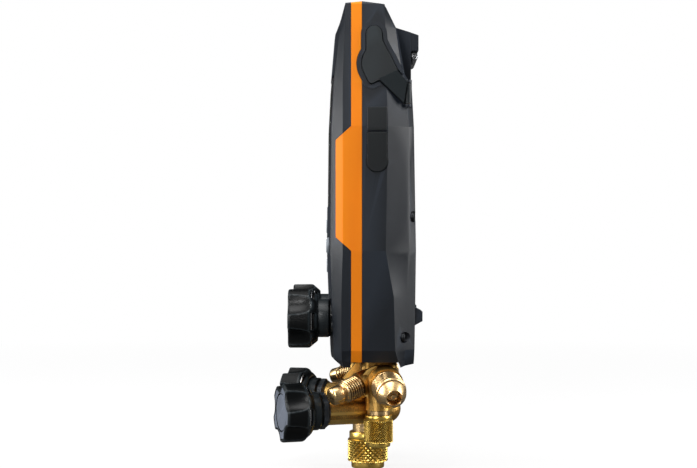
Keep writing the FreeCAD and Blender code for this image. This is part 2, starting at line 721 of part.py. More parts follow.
def port_socket_body(grow=0.0):
    """Outside of the data socket in the right wall."""
    x = side_x(PORT_COVER_TOP) - PORT_COVER_THICKNESS + PORT_COVER_PROUD - COVER_GAP
    half_y = PORT_SOCKET_WIDTH / 2 + SOCKET_WALL
    half_z = PORT_SOCKET_HEIGHT / 2 + SOCKET_WALL
    return block(x - PORT_SOCKET_DEPTH, x, PORT_COVER_Y - half_y, PORT_COVER_Y + half_y,
                 PORT_SOCKET_Z - half_z, PORT_SOCKET_Z + half_z)


def data_socket():
    """Metal shell of the data socket with its tongue."""
    body = port_socket_body()
    space = body.BoundBox
    cavity = block(space.XMin + SOCKET_WALL, space.XMax + 1, space.YMin + SOCKET_WALL,
                   space.YMax - SOCKET_WALL, space.ZMin + SOCKET_WALL, space.ZMax - SOCKET_WALL)
    tongue = block(space.XMin, space.XMax - 1.5, PORT_COVER_Y - 3.0, PORT_COVER_Y + 3.0,
                   PORT_SOCKET_Z - 0.4, PORT_SOCKET_Z + 0.4)
    return body.cut(cavity).fuse(tongue)


def probe_socket():
    """Round socket for a plug-in probe at the right side, with its contact pins."""
    mouth, out = probe_axis()
    back = PAD_PROUD + COVER_PROUD - COVER_THICKNESS - COVER_GAP
    lip = mouth + out * back
    radius = PROBE_RADIUS + PROBE_WALL
    cup = rod(lip, out.negative(), PROBE_DEPTH, radius)
    cup = cup.cut(rod(lip, out.negative(), PROBE_DEPTH - PROBE_WALL, PROBE_RADIUS))
    floor = lip - out * (PROBE_DEPTH - PROBE_WALL)
    pins = []
    for index in range(PROBE_PINS):
        angle = math.radians(60 + 300 * index / PROBE_PINS)
        side = Vector(-out.z, 0, out.x) * math.cos(angle) + Y_AXIS * math.sin(angle)
        pins.append(rod(floor + side * PROBE_PIN_RING - out * 0.5, out, 3.0, PROBE_PIN_RADIUS))
    return cup.fuse(pins)


def strap(grow=0.0):
    """Strap from the probe cover's edge down to its pin, opened by a gap for its seat."""
    frame = cover_frame()
    base = PAD_PROUD + COVER_PROUD - COVER_THICKNESS
    low = frame.multVec(on_cover(*STRAP_ROOT_LOW, base))
    high = frame.multVec(on_cover(*STRAP_ROOT_HIGH, base))
    y, z = STRAP_END_LOW
    end_low = Vector(side_x(z) - STRAP_DROP, y, z)
    normal = (high - low).cross(end_low - low)
    if normal.x < 0:
        normal = normal.negative()
    normal.normalize()
    y, z = STRAP_END_HIGH
    end_x = low.x - (normal.y * (y - low.y) + normal.z * (z - low.z)) / normal.x
    end_high = Vector(end_x, y, z)
    across_root = (high - low).normalize() * grow
    across_end = (end_high - end_low).normalize() * grow
    back_low = (low - end_low).normalize() * STRAP_LAP
    back_high = (high - end_high).normalize() * STRAP_LAP
    corners = [low + back_low - across_root, high + back_high + across_root, end_high + across_end,
               end_low - across_end]
    corners = [corner - normal * grow for corner in corners]
    face = Part.Face(Part.makePolygon(corners + corners[:1]))
    return face.extrude(normal * (COVER_THICKNESS + 2 * grow))


def pin_line(low, high, radius):
    """Round bar on the right cover pin's axis, between two heights."""
    x = side_x((ANCHOR_BOTTOM + ANCHOR_TOP) / 2) - ANCHOR_INSET
    return rod(Vector(x, ANCHOR_Y, low), Z_AXIS, high - low, radius)


def probe_cover():
    """Rubber probe cover: tab, cap, and a strap that ends in an eye round its pin."""
    low = PAD_PROUD + COVER_PROUD - COVER_THICKNESS
    cap = cover_slab(0.0, low, PAD_PROUD + COVER_PROUD)
    eye = pin_line(ANCHOR_BOTTOM + EAR_LENGTH + COVER_GAP, ANCHOR_TOP - EAR_LENGTH - COVER_GAP, EYE_RADIUS)
    bore = pin_line(ANCHOR_BOTTOM, ANCHOR_TOP, ANCHOR_RADIUS + RUNNING_GAP)
    return fused([cap, strap(), eye]).cut(bore)


def cover_pin():
    """Pin that the strap's eye turns on."""
    return pin_line(ANCHOR_BOTTOM, ANCHOR_TOP, ANCHOR_RADIUS)


def pin_ears():
    """Two ears of the rear shell that hold the cover pin's ends."""
    ears = []
    for low in (ANCHOR_BOTTOM, ANCHOR_TOP - EAR_LENGTH):
        ear = pin_line(low, low + EAR_LENGTH, EYE_RADIUS)
        reach = ear.BoundBox
        root = block(reach.Center.x - EYE_RADIUS - 1.5, reach.Center.x, reach.YMin, reach.YMax,
                     low, low + EAR_LENGTH)
        ears += [ear, root]
    return ears


# Hook

def hook_bracket():
    """Block above the hook, notched where the open hook stands."""
    slope = (SPINE_TOP_REAR - BRACKET_TOP_REAR) / (BRACKET_REAR - SPINE_REAR)
    points = [(SPINE_REAR, BRACKET_BOTTOM), (BRACKET_REAR, BRACKET_BOTTOM), (BRACKET_REAR, BRACKET_TOP_REAR),
              (SPINE_REAR, BRACKET_TOP_REAR + slope * (BRACKET_REAR - SPINE_REAR))]
    body = side_prism(points, -SPINE_HALF, SPINE_HALF)
    half = HOOK_LINK_HALF + HOOK_NOTCH_GAP
    return body.cut(block(-half, half, HOOK_AXIS_Y - 0.5, 60, BRACKET_BOTTOM - 1, ABOVE))


def hook_axis_rod(x0, x1, radius):
    """Round bar on the hook's turning axis."""
    return rod(Vector(x0, HOOK_AXIS_Y, HOOK_AXIS_Z), X_AXIS, x1 - x0, radius)


def hook_knuckles():
    """Two steel knuckles under the bracket that hold the hook's pin."""
    knuckles = []
    start = HOOK_BARREL_HALF + HOOK_KNUCKLE_GAP
    for sign in (1, -1):
        x0 = min(sign * start, sign * (start + HOOK_KNUCKLE_LENGTH))
        x1 = x0 + HOOK_KNUCKLE_LENGTH
        ear = block(x0, x1, HOOK_AXIS_Y - HOOK_BARREL_RADIUS, HOOK_AXIS_Y + HOOK_BARREL_RADIUS,
                    HOOK_AXIS_Z, BRACKET_BOTTOM)
        round_end = hook_axis_rod(x0, x1, HOOK_BARREL_RADIUS)
        hole = hook_axis_rod(x0 - 1, x1 + 1, HOOK_PIN_RADIUS)
        knuckles.append(ear.fuse(round_end).cut(hole))
    return Part.makeCompound(knuckles)


def hook_pin():
    """Pin through the knuckles and the hook's barrel."""
    reach = HOOK_BARREL_HALF + HOOK_KNUCKLE_GAP + HOOK_KNUCKLE_LENGTH
    return hook_axis_rod(-reach, reach, HOOK_PIN_RADIUS)


def hook():
    """Steel hook: barrel, cranked link, shank and a bowl that opens sideways."""
    y0 = HOOK_SHANK_Y - HOOK_THICKNESS / 2
    y1 = y0 + HOOK_THICKNESS
    inner = HOOK_BOWL_RADIUS
    outer = HOOK_BOWL_RADIUS + HOOK_STRIP
    centre = Vector(0, y0, HOOK_BOWL_Z)
    bowl = rod(centre, Y_AXIS, HOOK_THICKNESS, outer).cut(rod(centre, Y_AXIS, HOOK_THICKNESS, inner))
    bowl = bowl.cut(block(-FAR, FAR, 0, FAR, HOOK_BOWL_Z, HOOK_BOWL_Z + FAR))
    tip = block(inner, outer, y0, y1, HOOK_BOWL_Z, HOOK_BOWL_Z + HOOK_TIP_RISE)
    half = HOOK_LINK_HALF
    link_top = HOOK_AXIS_Z - 3.5
    outline = [(-outer, HOOK_BOWL_Z), (-inner, HOOK_BOWL_Z), (-inner, HOOK_NECK_Z), (half, HOOK_SHOULDER_Z),
               (half, link_top), (-half, link_top), (-half, HOOK_SHOULDER_Z + 4), (-outer, HOOK_NECK_Z + 4)]
    corners = [Vector(x, y0, z) for x, z in outline]
    shank = Part.Face(Part.makePolygon(corners + corners[:1])).extrude(Vector(0, HOOK_THICKNESS, 0))
    crank = [(y0, link_top - 2), (y1, link_top - 2), (HOOK_AXIS_Y + 1.0, HOOK_AXIS_Z - 1.0),
             (HOOK_AXIS_Y - 1.0, HOOK_AXIS_Z + 1.0), (y0, link_top)]
    link = side_prism(crank, -half, half)
    barrel = hook_axis_rod(-HOOK_BARREL_HALF, HOOK_BARREL_HALF, HOOK_BARREL_RADIUS)
    bore = hook_axis_rod(-HOOK_BARREL_HALF - 1, HOOK_BARREL_HALF + 1, HOOK_PIN_RADIUS + RUNNING_GAP)
    return fused([bowl, tip, shank, link, barrel]).cut(bore)


# Valves

def knob():
    """Lobed knob along Z: rear face at 0, front face at its length, bored for the sleeve."""
    front = KNOB_LENGTH
    cavity = COLLAR_RADIUS + COLLAR_GAP
    rear = KNOB_RADIUS - KNOB_BEVEL
    grip = KNOB_LENGTH - SLEEVE_END_COVER
    profile = [(0, cavity), (0, rear + 0.6), (KNOB_BEVEL, KNOB_RADIUS), (front - KNOB_EDGE, KNOB_RADIUS),
               (front, KNOB_RADIUS - KNOB_EDGE), (front, 0), (grip, 0), (grip, SLEEVE_RADIUS),
               (KNOB_CAVITY_DEPTH, SLEEVE_RADIUS), (KNOB_CAVITY_DEPTH, cavity)]
    body = turned(profile, Vector(0, 0, 0), Z_AXIS, Y_AXIS)
    tilt = math.atan2(SCALLOP_DEPTH, SCALLOP_LENGTH)
    cuts = []
    for index in range(KNOB_LOBES):
        angle = math.radians(SCALLOP_START + 360 * index / KNOB_LOBES)
        radial = Vector(math.cos(angle), math.sin(angle), 0)
        start = radial * (KNOB_RADIUS + SCALLOP_RADIUS - SCALLOP_DEPTH) + Vector(0, 0, front)
        lean = radial * math.sin(tilt) - Z_AXIS * math.cos(tilt)
        cuts.append(rod(start - lean * 10, lean, 40, SCALLOP_RADIUS))
    groove = rod(Vector(0, 0, front - DISC_GROOVE), Z_AXIS, 5, DISC_RADIUS)
    groove = groove.cut(rod(Vector(0, 0, 0), Z_AXIS, 30, DISC_RADIUS - DISC_GROOVE))
    return body.cut(cuts + [groove])


def valve_frame(root, axis):
    """Placement with Z along a valve's axis and Y up."""
    return Placement(root, Rotation(Vector(0, 0, 0), Z_AXIS, axis, "ZYX"))


def valve_pieces(face, collar_start):
    """Collar, sleeve, stem and knob along Z, for a knob face and a collar start."""
    knob_start = face - KNOB_LENGTH
    collar_end = knob_start + COLLAR_OVERLAP
    socket_end = collar_start + COLLAR_SOCKET
    inner = SLEEVE_RADIUS + COLLAR_GAP
    collar = turned([(collar_start, ARM_RADIUS), (collar_start, COLLAR_RADIUS - COLLAR_CHAMFER),
                     (collar_start + COLLAR_CHAMFER, COLLAR_RADIUS), (collar_end, COLLAR_RADIUS),
                     (collar_end, inner), (socket_end, inner), (socket_end, ARM_RADIUS)],
                    Vector(0, 0, 0), Z_AXIS, Y_AXIS)
    sleeve_start = SEAT_DEPTH + PISTON_LENGTH + VALVE_TRAVEL + END_GAP
    sleeve_end = face - SLEEVE_END_COVER
    sleeve = rod(Vector(0, 0, sleeve_start), Z_AXIS, sleeve_end - sleeve_start, SLEEVE_RADIUS)
    bore = rod(Vector(0, 0, 0), Z_AXIS, sleeve_end - 2.0, STEM_RADIUS + RUNNING_GAP)
    piston = rod(Vector(0, 0, SEAT_DEPTH), Z_AXIS, PISTON_LENGTH, PISTON_RADIUS)
    spindle = rod(Vector(0, 0, SEAT_DEPTH), Z_AXIS, PISTON_LENGTH + STEM_LENGTH, STEM_RADIUS)
    grip = knob()
    grip.translate(Vector(0, 0, knob_start))
    return {"collar": collar, "sleeve": sleeve.cut(bore), "stem": piston.fuse(spindle), "knob": grip}


def valve_bore(arm_end):
    """Stepped bore of a valve arm, along Z."""
    seat = SEAT_DEPTH - END_GAP
    step = SEAT_DEPTH + PISTON_LENGTH + VALVE_TRAVEL + END_GAP / 2
    profile = [(seat, 0), (seat, PISTON_RADIUS + RUNNING_GAP), (step, PISTON_RADIUS + RUNNING_GAP),
               (step, SLEEVE_RADIUS + RUNNING_GAP), (arm_end + 1, SLEEVE_RADIUS + RUNNING_GAP),
               (arm_end + 1, 0)]
    return turned(profile, Vector(0, 0, 0), Z_AXIS, Y_AXIS)


UPPER_FACE = UPPER_VALVE_ROOT_Y - UPPER_KNOB_FACE_Y
SPLAY = math.radians(LOWER_SPLAY)
UPPER_ROOT = Vector(UPPER_VALVE_X, UPPER_VALVE_ROOT_Y, UPPER_VALVE_Z)
UPPER_AXIS = Y_AXIS.negative()
LOWER_ROOT = Vector(LOWER_VALVE_X, LOWER_VALVE_ROOT_Y, LOWER_VALVE_Z)
LOWER_AXIS = Vector(math.sin(SPLAY), -math.cos(SPLAY), 0)

VALVES = {
    "upper": (UPPER_ROOT, UPPER_AXIS, UPPER_FACE, UPPER_COLLAR_START),
    "lower": (LOWER_ROOT, LOWER_AXIS, LOWER_KNOB_FACE, LOWER_ARM_VISIBLE),
}


# Brass block and its connections

def neck():
    """Upright middle of the block, with round corners, that passes the housing's floor."""
    body = block(-NECK_HALF, NECK_HALF, NECK_FRONT, NECK_REAR, GALLERY_Z, NECK_TOP)
    upright = [edge for edge in body.Edges if abs(edge.tangentAt(edge.FirstParameter).z) > 0.9]
    return body.makeFillet(NECK_CORNER, upright)


def boss_along(root, axis, length, radius, back=0.0):
    """Round boss that starts a little behind its root point."""
    return rod(root - axis * back, axis, length + back, radius)


def valve_block():
    """Brass body: gallery, neck, pillars, valve arms, web and the bosses of the connections."""
    side = (SIDE_TIP - SIDE_ROOT).normalize()
    stub = (STUB_END - STUB_ROOT).normalize()
    gallery = rod(Vector(-GALLERY_HALF, GALLERY_Y, GALLERY_Z), X_AXIS, 2 * GALLERY_HALF, GALLERY_RADIUS)
    upper = rod(Vector(-UPPER_VALVE_X - PILLAR_HALF, GALLERY_Y, UPPER_VALVE_Z), X_AXIS,
                2 * (UPPER_VALVE_X + PILLAR_HALF), UPPER_GALLERY_RADIUS)
    web = side_prism([(NECK_FRONT + 1, 59.0), (NECK_FRONT - 1.1, 57.6), (NECK_FRONT - 8.8, 47.7),
                      (NECK_FRONT + 1, 43.5)], -WEB_THICKNESS / 2, WEB_THICKNESS / 2)
    sight = rod(Vector(0, GALLERY_Y, UPPER_VALVE_Z), UPPER_AXIS, GALLERY_Y - SIGHT_SEAT_Y, SIGHT_BOSS_RADIUS)
    large_z = LARGE_CAP_TOP + LARGE_NECK_LENGTH
    large = rod(Vector(LARGE_PORT_X, LARGE_PORT_Y, large_z), Z_AXIS, GALLERY_Z - large_z, LARGE_BOSS_RADIUS)
    small_z = SMALL_CAP_TOP + SMALL_NECK_LENGTH
    small = rod(Vector(SMALL_PORT_X, SMALL_PORT_Y, small_z), Z_AXIS, GALLERY_Z - small_z, SMALL_BOSS_RADIUS)
    shapes = [gallery, neck(), upper, web, sight, large, small]
    bores = [rod(Vector(0, SIGHT_SEAT_Y, UPPER_VALVE_Z), Y_AXIS, SIGHT_BORE, SIGHT_BORE)]
    for sign in (1, -1):
        pillar_x = sign * UPPER_VALVE_X
        shapes.append(block(pillar_x - PILLAR_HALF, pillar_x + PILLAR_HALF, GALLERY_Y - 7, GALLERY_Y + 7,
                            NECK_TOP - 1, UPPER_VALVE_Z))
        for root, axis, face, collar_start in VALVES.values():
            spot = Vector(sign * root.x, root.y, root.z)
            line = Vector(sign * axis.x, axis.y, axis.z)
            arm_end = collar_start + COLLAR_SOCKET
            shapes.append(boss_along(spot, line, arm_end, ARM_RADIUS, 2.0))
            bores.append(placed_by(valve_bore(arm_end), valve_frame(spot, line)))
        low = Vector(sign * LOWER_ROOT.x, LOWER_ROOT.y, LOWER_ROOT.z)
        back = Vector(-sign * LOWER_AXIS.x, -LOWER_AXIS.y, 0)
        shapes.append(boss_along(low, back, ARM_TAIL, ARM_RADIUS))
        shapes.append(Part.makeSphere(ARM_RADIUS, low + back * ARM_TAIL))
        shapes.append(rod(Vector(low.x, GALLERY_Y, low.z), Z_AXIS, GALLERY_Z - low.z, RISER_RADIUS))
        side_root = Vector(sign * SIDE_ROOT.x, SIDE_ROOT.y, SIDE_ROOT.z)
        side_line = Vector(sign * side.x, side.y, side.z)
        shapes.append(boss_along(side_root, side_line, SIDE_BOSS_LENGTH, SIDE_BOSS_RADIUS, 2.0))
        stub_root = Vector(sign * STUB_ROOT.x, STUB_ROOT.y, STUB_ROOT.z)
        stub_line = Vector(sign * stub.x, stub.y, stub.z)
        shapes.append(boss_along(stub_root, stub_line, STUB_COLLAR_LENGTH, STUB_COLLAR_RADIUS, 3.0))
    return shapes[0].multiFuse(shapes[1:]).cut(bores)


def side_connection():
    """Right flare connection: thread, nose and a bore with a web that guides the core pin."""
    length = (SIDE_TIP - SIDE_ROOT).Length
    nose = length - SIDE_NOSE_LENGTH
    tip_radius = SIDE_BORE_RADIUS + 0.4
    start = SIDE_BOSS_LENGTH
    web = length - SIDE_BORE_DEPTH / 2
    pin_hole = CORE_PIN_RADIUS + RUNNING_GAP
    root = SIDE_THREAD_RADIUS - THREAD_RELIEF
    profile = [(start, pin_hole), (start, root), (start + 1.0, root), (start + 1.8, SIDE_THREAD_RADIUS),
               (nose - 1.0, SIDE_THREAD_RADIUS), (nose, SIDE_NOSE_RADIUS), (nose + 1.4, SIDE_NOSE_RADIUS),
               (length, tip_radius), (length, SIDE_BORE_RADIUS), (web + CORE_WEB / 2, SIDE_BORE_RADIUS),
               (web + CORE_WEB / 2, pin_hole)]
    return turned(profile, SIDE_ROOT, (SIDE_TIP - SIDE_ROOT).normalize())


def core_pin():
    """Core pin of the right connection, which a hose's end pushes in."""
    length = (SIDE_TIP - SIDE_ROOT).Length
    web = length - SIDE_BORE_DEPTH / 2 + CORE_WEB / 2
    head = web + CORE_TRAVEL + END_GAP
    axis = (SIDE_TIP - SIDE_ROOT).normalize()
    profile = [(web - 6.0, 0), (web - 6.0, CORE_PIN_RADIUS), (head, CORE_PIN_RADIUS),
               (head, CORE_HEAD_RADIUS), (head + 0.8, CORE_HEAD_RADIUS), (head + 0.8, CORE_PIN_RADIUS),
               (head + 2.2, CORE_PIN_RADIUS), (head + 2.2, 0)]
    return turned(profile, SIDE_ROOT, axis)


def parking_stubs():
    """Two solid flare stubs at the front that hold the ends of hoses."""
    length = (STUB_END - STUB_ROOT).Length
    nose = length - STUB_NOSE_LENGTH
    groove = STUB_NOSE_RADIUS - 0.5
    relief = STUB_COLLAR_LENGTH + STUB_RELIEF_LENGTH
    profile = [(STUB_COLLAR_LENGTH, 0), (STUB_COLLAR_LENGTH, STUB_THREAD_RADIUS - THREAD_RELIEF),
               (relief, STUB_THREAD_RADIUS - THREAD_RELIEF), (relief, STUB_THREAD_RADIUS),
               (nose - 2.0, STUB_THREAD_RADIUS), (nose - 1.5, groove), (nose - 0.5, groove),
               (nose, STUB_NOSE_RADIUS), (length - 1.4, STUB_NOSE_RADIUS),
               (length, STUB_NOSE_RADIUS - 1.6), (length, 0)]
    stub = turned(profile, STUB_ROOT, (STUB_END - STUB_ROOT).normalize())
    return Part.makeCompound([stub, mirrored(stub)])


def bottom_connection(x, y, radius, start, end):
    """Flare connection that points down, with a bored nose."""
    bore = radius - PORT_BORE_SHARE
    profile = [(0, bore), (0, radius), (start - end - PORT_NOSE, radius), (start - end, bore + 1.0),
               (start - end, bore)]
    return turned(profile, Vector(x, y, start), Z_AXIS.negative(), Y_AXIS)


def knurled_cap(x, y, radius, port_radius, top, bottom, rim, lip):
    """Cap with a plain rim, a wider knurled grip and a plain lip round its closed end."""
    height = top - bottom
    bore = port_radius + CAP_THREAD_GAP
    edge = radius * CAP_RIM_SHARE
    foot = radius * CAP_LIP_SHARE
    profile = [(0, bore), (0, edge - 0.4), (0.4, edge), (rim, edge), (rim + 0.5, radius),
               (height - lip - 0.5, radius), (height - lip, foot), (height - 0.6, foot), (height, foot - 0.6),
               (height, 0), (height - CAP_FLOOR, 0), (height - CAP_FLOOR, bore)]
    return turned(profile, Vector(x, y, top), Z_AXIS.negative(), Y_AXIS)


def pressure_sensors():
    """Two sensors screwed into the top of the pillars, under the board."""
    sensors = []
    top = UPPER_VALVE_Z + UPPER_GALLERY_RADIUS
    for sign in (1, -1):
        base = Vector(sign * UPPER_VALVE_X, GALLERY_Y, top)
        hexagon = [Vector(base.x + SENSOR_HEX * math.cos(math.radians(60 * i)),
                          base.y + SENSOR_HEX * math.sin(math.radians(60 * i)), top) for i in range(7)]
        nut = Part.Face(Part.makePolygon(hexagon)).extrude(Vector(0, 0, SENSOR_NUT))
        can = rod(base + Z_AXIS * SENSOR_NUT, Z_AXIS, SENSOR_CAN, SENSOR_HEX * 0.8)
        sensors.append(nut.fuse(can))
    return Part.makeCompound(sensors)


# Front fittings and inner pieces

def sight_ring():
    """Ring round the sight glass, seated on the block's boss."""
    face_y = front_y(0, UPPER_VALVE_Z) - SIGHT_RING_PROUD
    length = SIGHT_SEAT_Y - face_y
    profile = [(0, SIGHT_RADIUS), (0, SIGHT_RING_RADIUS), (length - 0.8, SIGHT_RING_RADIUS),
               (length, SIGHT_RING_RADIUS - 0.8), (length, SIGHT_RADIUS)]
    return turned(profile, Vector(0, SIGHT_SEAT_Y, UPPER_VALVE_Z), UPPER_AXIS)


def sight_glass():
    """Glass disc inside the ring."""
    return rod(Vector(0, SIGHT_SEAT_Y, UPPER_VALVE_Z), UPPER_AXIS, SIGHT_GLASS_THICKNESS, SIGHT_RADIUS)


def display_window():
    """Clear window that follows the crown of the front."""
    half = WINDOW_WIDTH / 2
    seat = WINDOW_RECESS + WINDOW_THICKNESS
    return front_layer(WINDOW_RECESS, seat, -half, half, WINDOW_BOTTOM, WINDOW_TOP)


def display_module():
    """Flat display behind the window, seated on the board."""
    half = WINDOW_WIDTH / 2 - WINDOW_LEDGE - MODULE_MARGIN
    low = WINDOW_BOTTOM + WINDOW_LEDGE + MODULE_MARGIN
    high = WINDOW_TOP - WINDOW_LEDGE - MODULE_MARGIN
    return block(-half, half, BOARD_Y - MODULE_THICKNESS, BOARD_Y, low, high)


def main_board():
    """Circuit board on the front shell's posts."""
    half = BOARD_WIDTH / 2
    return block(-half, half, BOARD_Y, BOARD_Y + BOARD_THICKNESS, BOARD_BOTTOM, BOARD_TOP)


def keypad():
    """Rubber mat between the keys and the board."""
    half = SIDE_KEY_X
    low = KEY_CENTRE_Z - KEY_PITCH - MIDDLE_KEY_HEIGHT / 2
    high = KEY_CENTRE_Z + KEY_PITCH + MIDDLE_KEY_HEIGHT / 2
    return block(-half, half, BOARD_Y - KEYPAD_THICKNESS, BOARD_Y, low, high)


def cell_row():
    """Places of the cells' lower ends."""
    pitch = CELL_DIAMETER + CELL_GAP
    first = -pitch * (CELL_COUNT - 1) / 2
    return [Vector(first + pitch * index, CELL_Y, CELL_BOTTOM) for index in range(CELL_COUNT)]


def battery_cells():
    """Cells standing side by side, each with its raised end."""
    cells = []
    for spot in cell_row():
        can = rod(spot, Z_AXIS, CELL_LENGTH - 1.0, CELL_DIAMETER / 2)
        cells.append(can.fuse(rod(spot, Z_AXIS, CELL_LENGTH, CELL_NUB_RADIUS)))
    return Part.makeCompound(cells)


def tray_box(grow):
    """Box round the row of cells, opened by a margin."""
    row = cell_row()
    radius = CELL_DIAMETER / 2
    return block(row[0].x - radius - grow, row[-1].x + radius + grow, CELL_Y - radius - grow, TRAY_REAR,
                 CELL_BOTTOM - grow, CELL_BOTTOM + CELL_LENGTH + grow)


def battery_tray():
    """Open tray behind the battery door."""
    inner = tray_box(TRAY_GAP)
    space = inner.BoundBox
    cavity = block(space.XMin, space.XMax, space.YMin, space.YMax + 1, space.ZMin, space.ZMax)
    return tray_box(TRAY_GAP + TRAY_WALL).cut(cavity)


def battery_door():
    """Door in the rear wall, with a finger groove at its top."""
    door = rear_layer(0.0, DOOR_THICKNESS - DOOR_GAP, door_region(0))
    groove = rod(Vector(-DOOR_GRIP_HALF, DOOR_GRIP_Y, DOOR_TOP - 7), X_AXIS, 2 * DOOR_GRIP_HALF,
                 DOOR_GRIP_RADIUS)
    return door.cut(groove)


def housing_screws():
    """Screws at the bottoms of their pockets."""
    screws = []
    for x, z, floor_y in SCREW_SPOTS:
        for sign in (1, -1):
            seat = Vector(sign * x, floor_y, z)
            head = rod(seat, Y_AXIS, SCREW_HEAD_HEIGHT, SCREW_HEAD_RADIUS)
            screws.append(head.fuse(rod(seat, Y_AXIS.negative(), SCREW_LENGTH - 1, SCREW_RADIUS)))
    return Part.makeCompound(screws)


# The whole part

def all_pieces():
    """Every node's shape by its name."""
    front, band, rear = housing_shells()
    socket = probe_socket()
    cover = probe_cover()
    connection = side_connection()
    pin = core_pin()
    pieces = {
        "front_shell": front, "middle_band": band, "rear_shell": rear,
        "display_window": display_window(), "display_module": display_module(), "main_board": main_board(),
        "keypad": keypad(), "sight_ring": sight_ring(), "sight_glass": sight_glass(),
        "battery_tray": battery_tray(), "battery_cells": battery_cells(), "battery_door": battery_door(),
        "probe_socket_right": socket, "probe_socket_left": mirrored(socket),
        "probe_cover_right": cover, "probe_cover_left": mirrored(cover),
        "cover_pin_right": cover_pin(), "cover_pin_left": mirrored(cover_pin()),
        "port_cover": port_cover(), "port_cover_anchor": port_anchor(), "data_socket": data_socket(),
        "hook_bracket": hook_bracket(), "hook_knuckles": hook_knuckles(),
        "hook_pin": hook_pin(), "hook": hook(),
        "housing_screws": housing_screws(), "pressure_sensors": pressure_sensors(),
        "parking_stubs": parking_stubs(),
        "side_connection_right": connection, "side_connection_left": mirrored(connection),
        "core_pin_right": pin, "core_pin_left": mirrored(pin),
    }
    for name, values in KEYS.items():
        pieces[name] = key(*values)
    seated = [pieces[name] for name in ("parking_stubs", "side_connection_right", "side_connection_left")]
    pieces["valve_block"] = valve_block().cut(seated)
    small_end = SMALL_CAP_BOTTOM + CAP_FLOOR + SEAL_THICKNESS + END_GAP
    large_end = LARGE_CAP_BOTTOM + CAP_FLOOR + SEAL_THICKNESS + END_GAP
    pieces["small_connection"] = bottom_connection(SMALL_PORT_X, SMALL_PORT_Y, SMALL_PORT_RADIUS,
                                                   SMALL_CAP_TOP + SMALL_NECK_LENGTH, small_end)
    pieces["large_connection"] = bottom_connection(LARGE_PORT_X, LARGE_PORT_Y, LARGE_PORT_RADIUS,
                                                   LARGE_CAP_TOP + LARGE_NECK_LENGTH, large_end)
    pieces["small_cap"] = knurled_cap(SMALL_PORT_X, SMALL_PORT_Y, SMALL_CAP_RADIUS, SMALL_PORT_RADIUS,
                                      SMALL_CAP_TOP, SMALL_CAP_BOTTOM, SMALL_CAP_RIM, SMALL_CAP_LIP)
    pieces["large_cap"] = knurled_cap(LARGE_PORT_X, LARGE_PORT_Y, LARGE_CAP_RADIUS, LARGE_PORT_RADIUS,
                                      LARGE_CAP_TOP, LARGE_CAP_BOTTOM, LARGE_CAP_RIM, LARGE_CAP_LIP)
    for level, (root, axis, face, collar_start) in VALVES.items():
        frame = valve_frame(root, axis)
        for kind, shape in valve_pieces(face, collar_start).items():
            right = placed_by(shape, frame)
            pieces[f"{level}_{kind}_right"] = right
            pieces[f"{level}_{kind}_left"] = mirrored(right)
    return pieces


os.makedirs("parts", exist_ok=True)
for name, shape in all_pieces().items():
    shape.exportStep(f"parts/{name}.step")
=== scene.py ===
"""Visual model of a hand-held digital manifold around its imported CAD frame."""
import json
import math

import bmesh
import bpy
from mathutils import Matrix, Vector

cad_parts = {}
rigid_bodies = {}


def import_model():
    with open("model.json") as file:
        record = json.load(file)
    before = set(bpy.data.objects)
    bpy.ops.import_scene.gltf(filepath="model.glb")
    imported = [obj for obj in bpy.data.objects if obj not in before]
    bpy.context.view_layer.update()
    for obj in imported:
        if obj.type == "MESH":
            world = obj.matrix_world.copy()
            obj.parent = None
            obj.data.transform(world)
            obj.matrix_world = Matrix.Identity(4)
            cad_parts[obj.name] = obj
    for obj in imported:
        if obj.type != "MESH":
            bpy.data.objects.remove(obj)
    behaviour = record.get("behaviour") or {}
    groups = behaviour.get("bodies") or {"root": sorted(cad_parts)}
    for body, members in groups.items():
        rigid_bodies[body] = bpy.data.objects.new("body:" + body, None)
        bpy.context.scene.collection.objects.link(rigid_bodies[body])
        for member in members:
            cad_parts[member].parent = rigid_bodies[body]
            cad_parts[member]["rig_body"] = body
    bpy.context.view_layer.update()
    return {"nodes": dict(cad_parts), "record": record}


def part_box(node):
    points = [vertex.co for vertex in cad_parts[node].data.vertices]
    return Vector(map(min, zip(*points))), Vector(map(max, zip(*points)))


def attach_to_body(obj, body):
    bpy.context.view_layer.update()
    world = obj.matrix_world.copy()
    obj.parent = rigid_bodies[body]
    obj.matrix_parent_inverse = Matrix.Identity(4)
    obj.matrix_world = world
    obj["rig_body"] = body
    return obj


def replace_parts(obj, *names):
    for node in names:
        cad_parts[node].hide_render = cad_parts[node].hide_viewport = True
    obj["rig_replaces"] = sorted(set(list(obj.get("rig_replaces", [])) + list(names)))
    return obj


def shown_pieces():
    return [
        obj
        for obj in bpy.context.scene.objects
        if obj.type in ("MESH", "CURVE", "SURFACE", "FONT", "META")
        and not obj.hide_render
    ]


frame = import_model()

# Shapes are in millimetres. The stage, the camera, the lamps and the materials are in metres.
MM = 0.001

# Camera, as the photograph was taken
CAMERA_PLACE = (0.700, 0.0, 0.1221)
CAMERA_LENS = 69.96
CAMERA_SENSOR = 36.0
CAMERA_CLIP = 0.01

# Edges of the pieces that are dressed from the CAD, with angles in degrees
WELD = 1e-6
EDGE_WIDTH = 0.3
EDGE_SEGMENTS = 2
FLAT_ANGLE = 0.4
CREASE_ANGLE = 25.0
FACET_ANGLE = 2.2
FACET_AREA = 22.0
FACET_BEVEL = 0.6
FACET_WEIGHT = 90
SKIN_ANGLE = 34

# Valves: where each axis starts, and how far along it the collar starts and the knob's face lies
VALVE_ROOT = {"upper": (30.0, 10.0, 80.5), "lower": (25.0, 8.0, 34.9)}
COLLAR_START = {"upper": 15.0, "lower": 20.0}
KNOB_FACE = {"upper": 39.7, "lower": 43.4}
LOWER_SPLAY = math.radians(18.0)

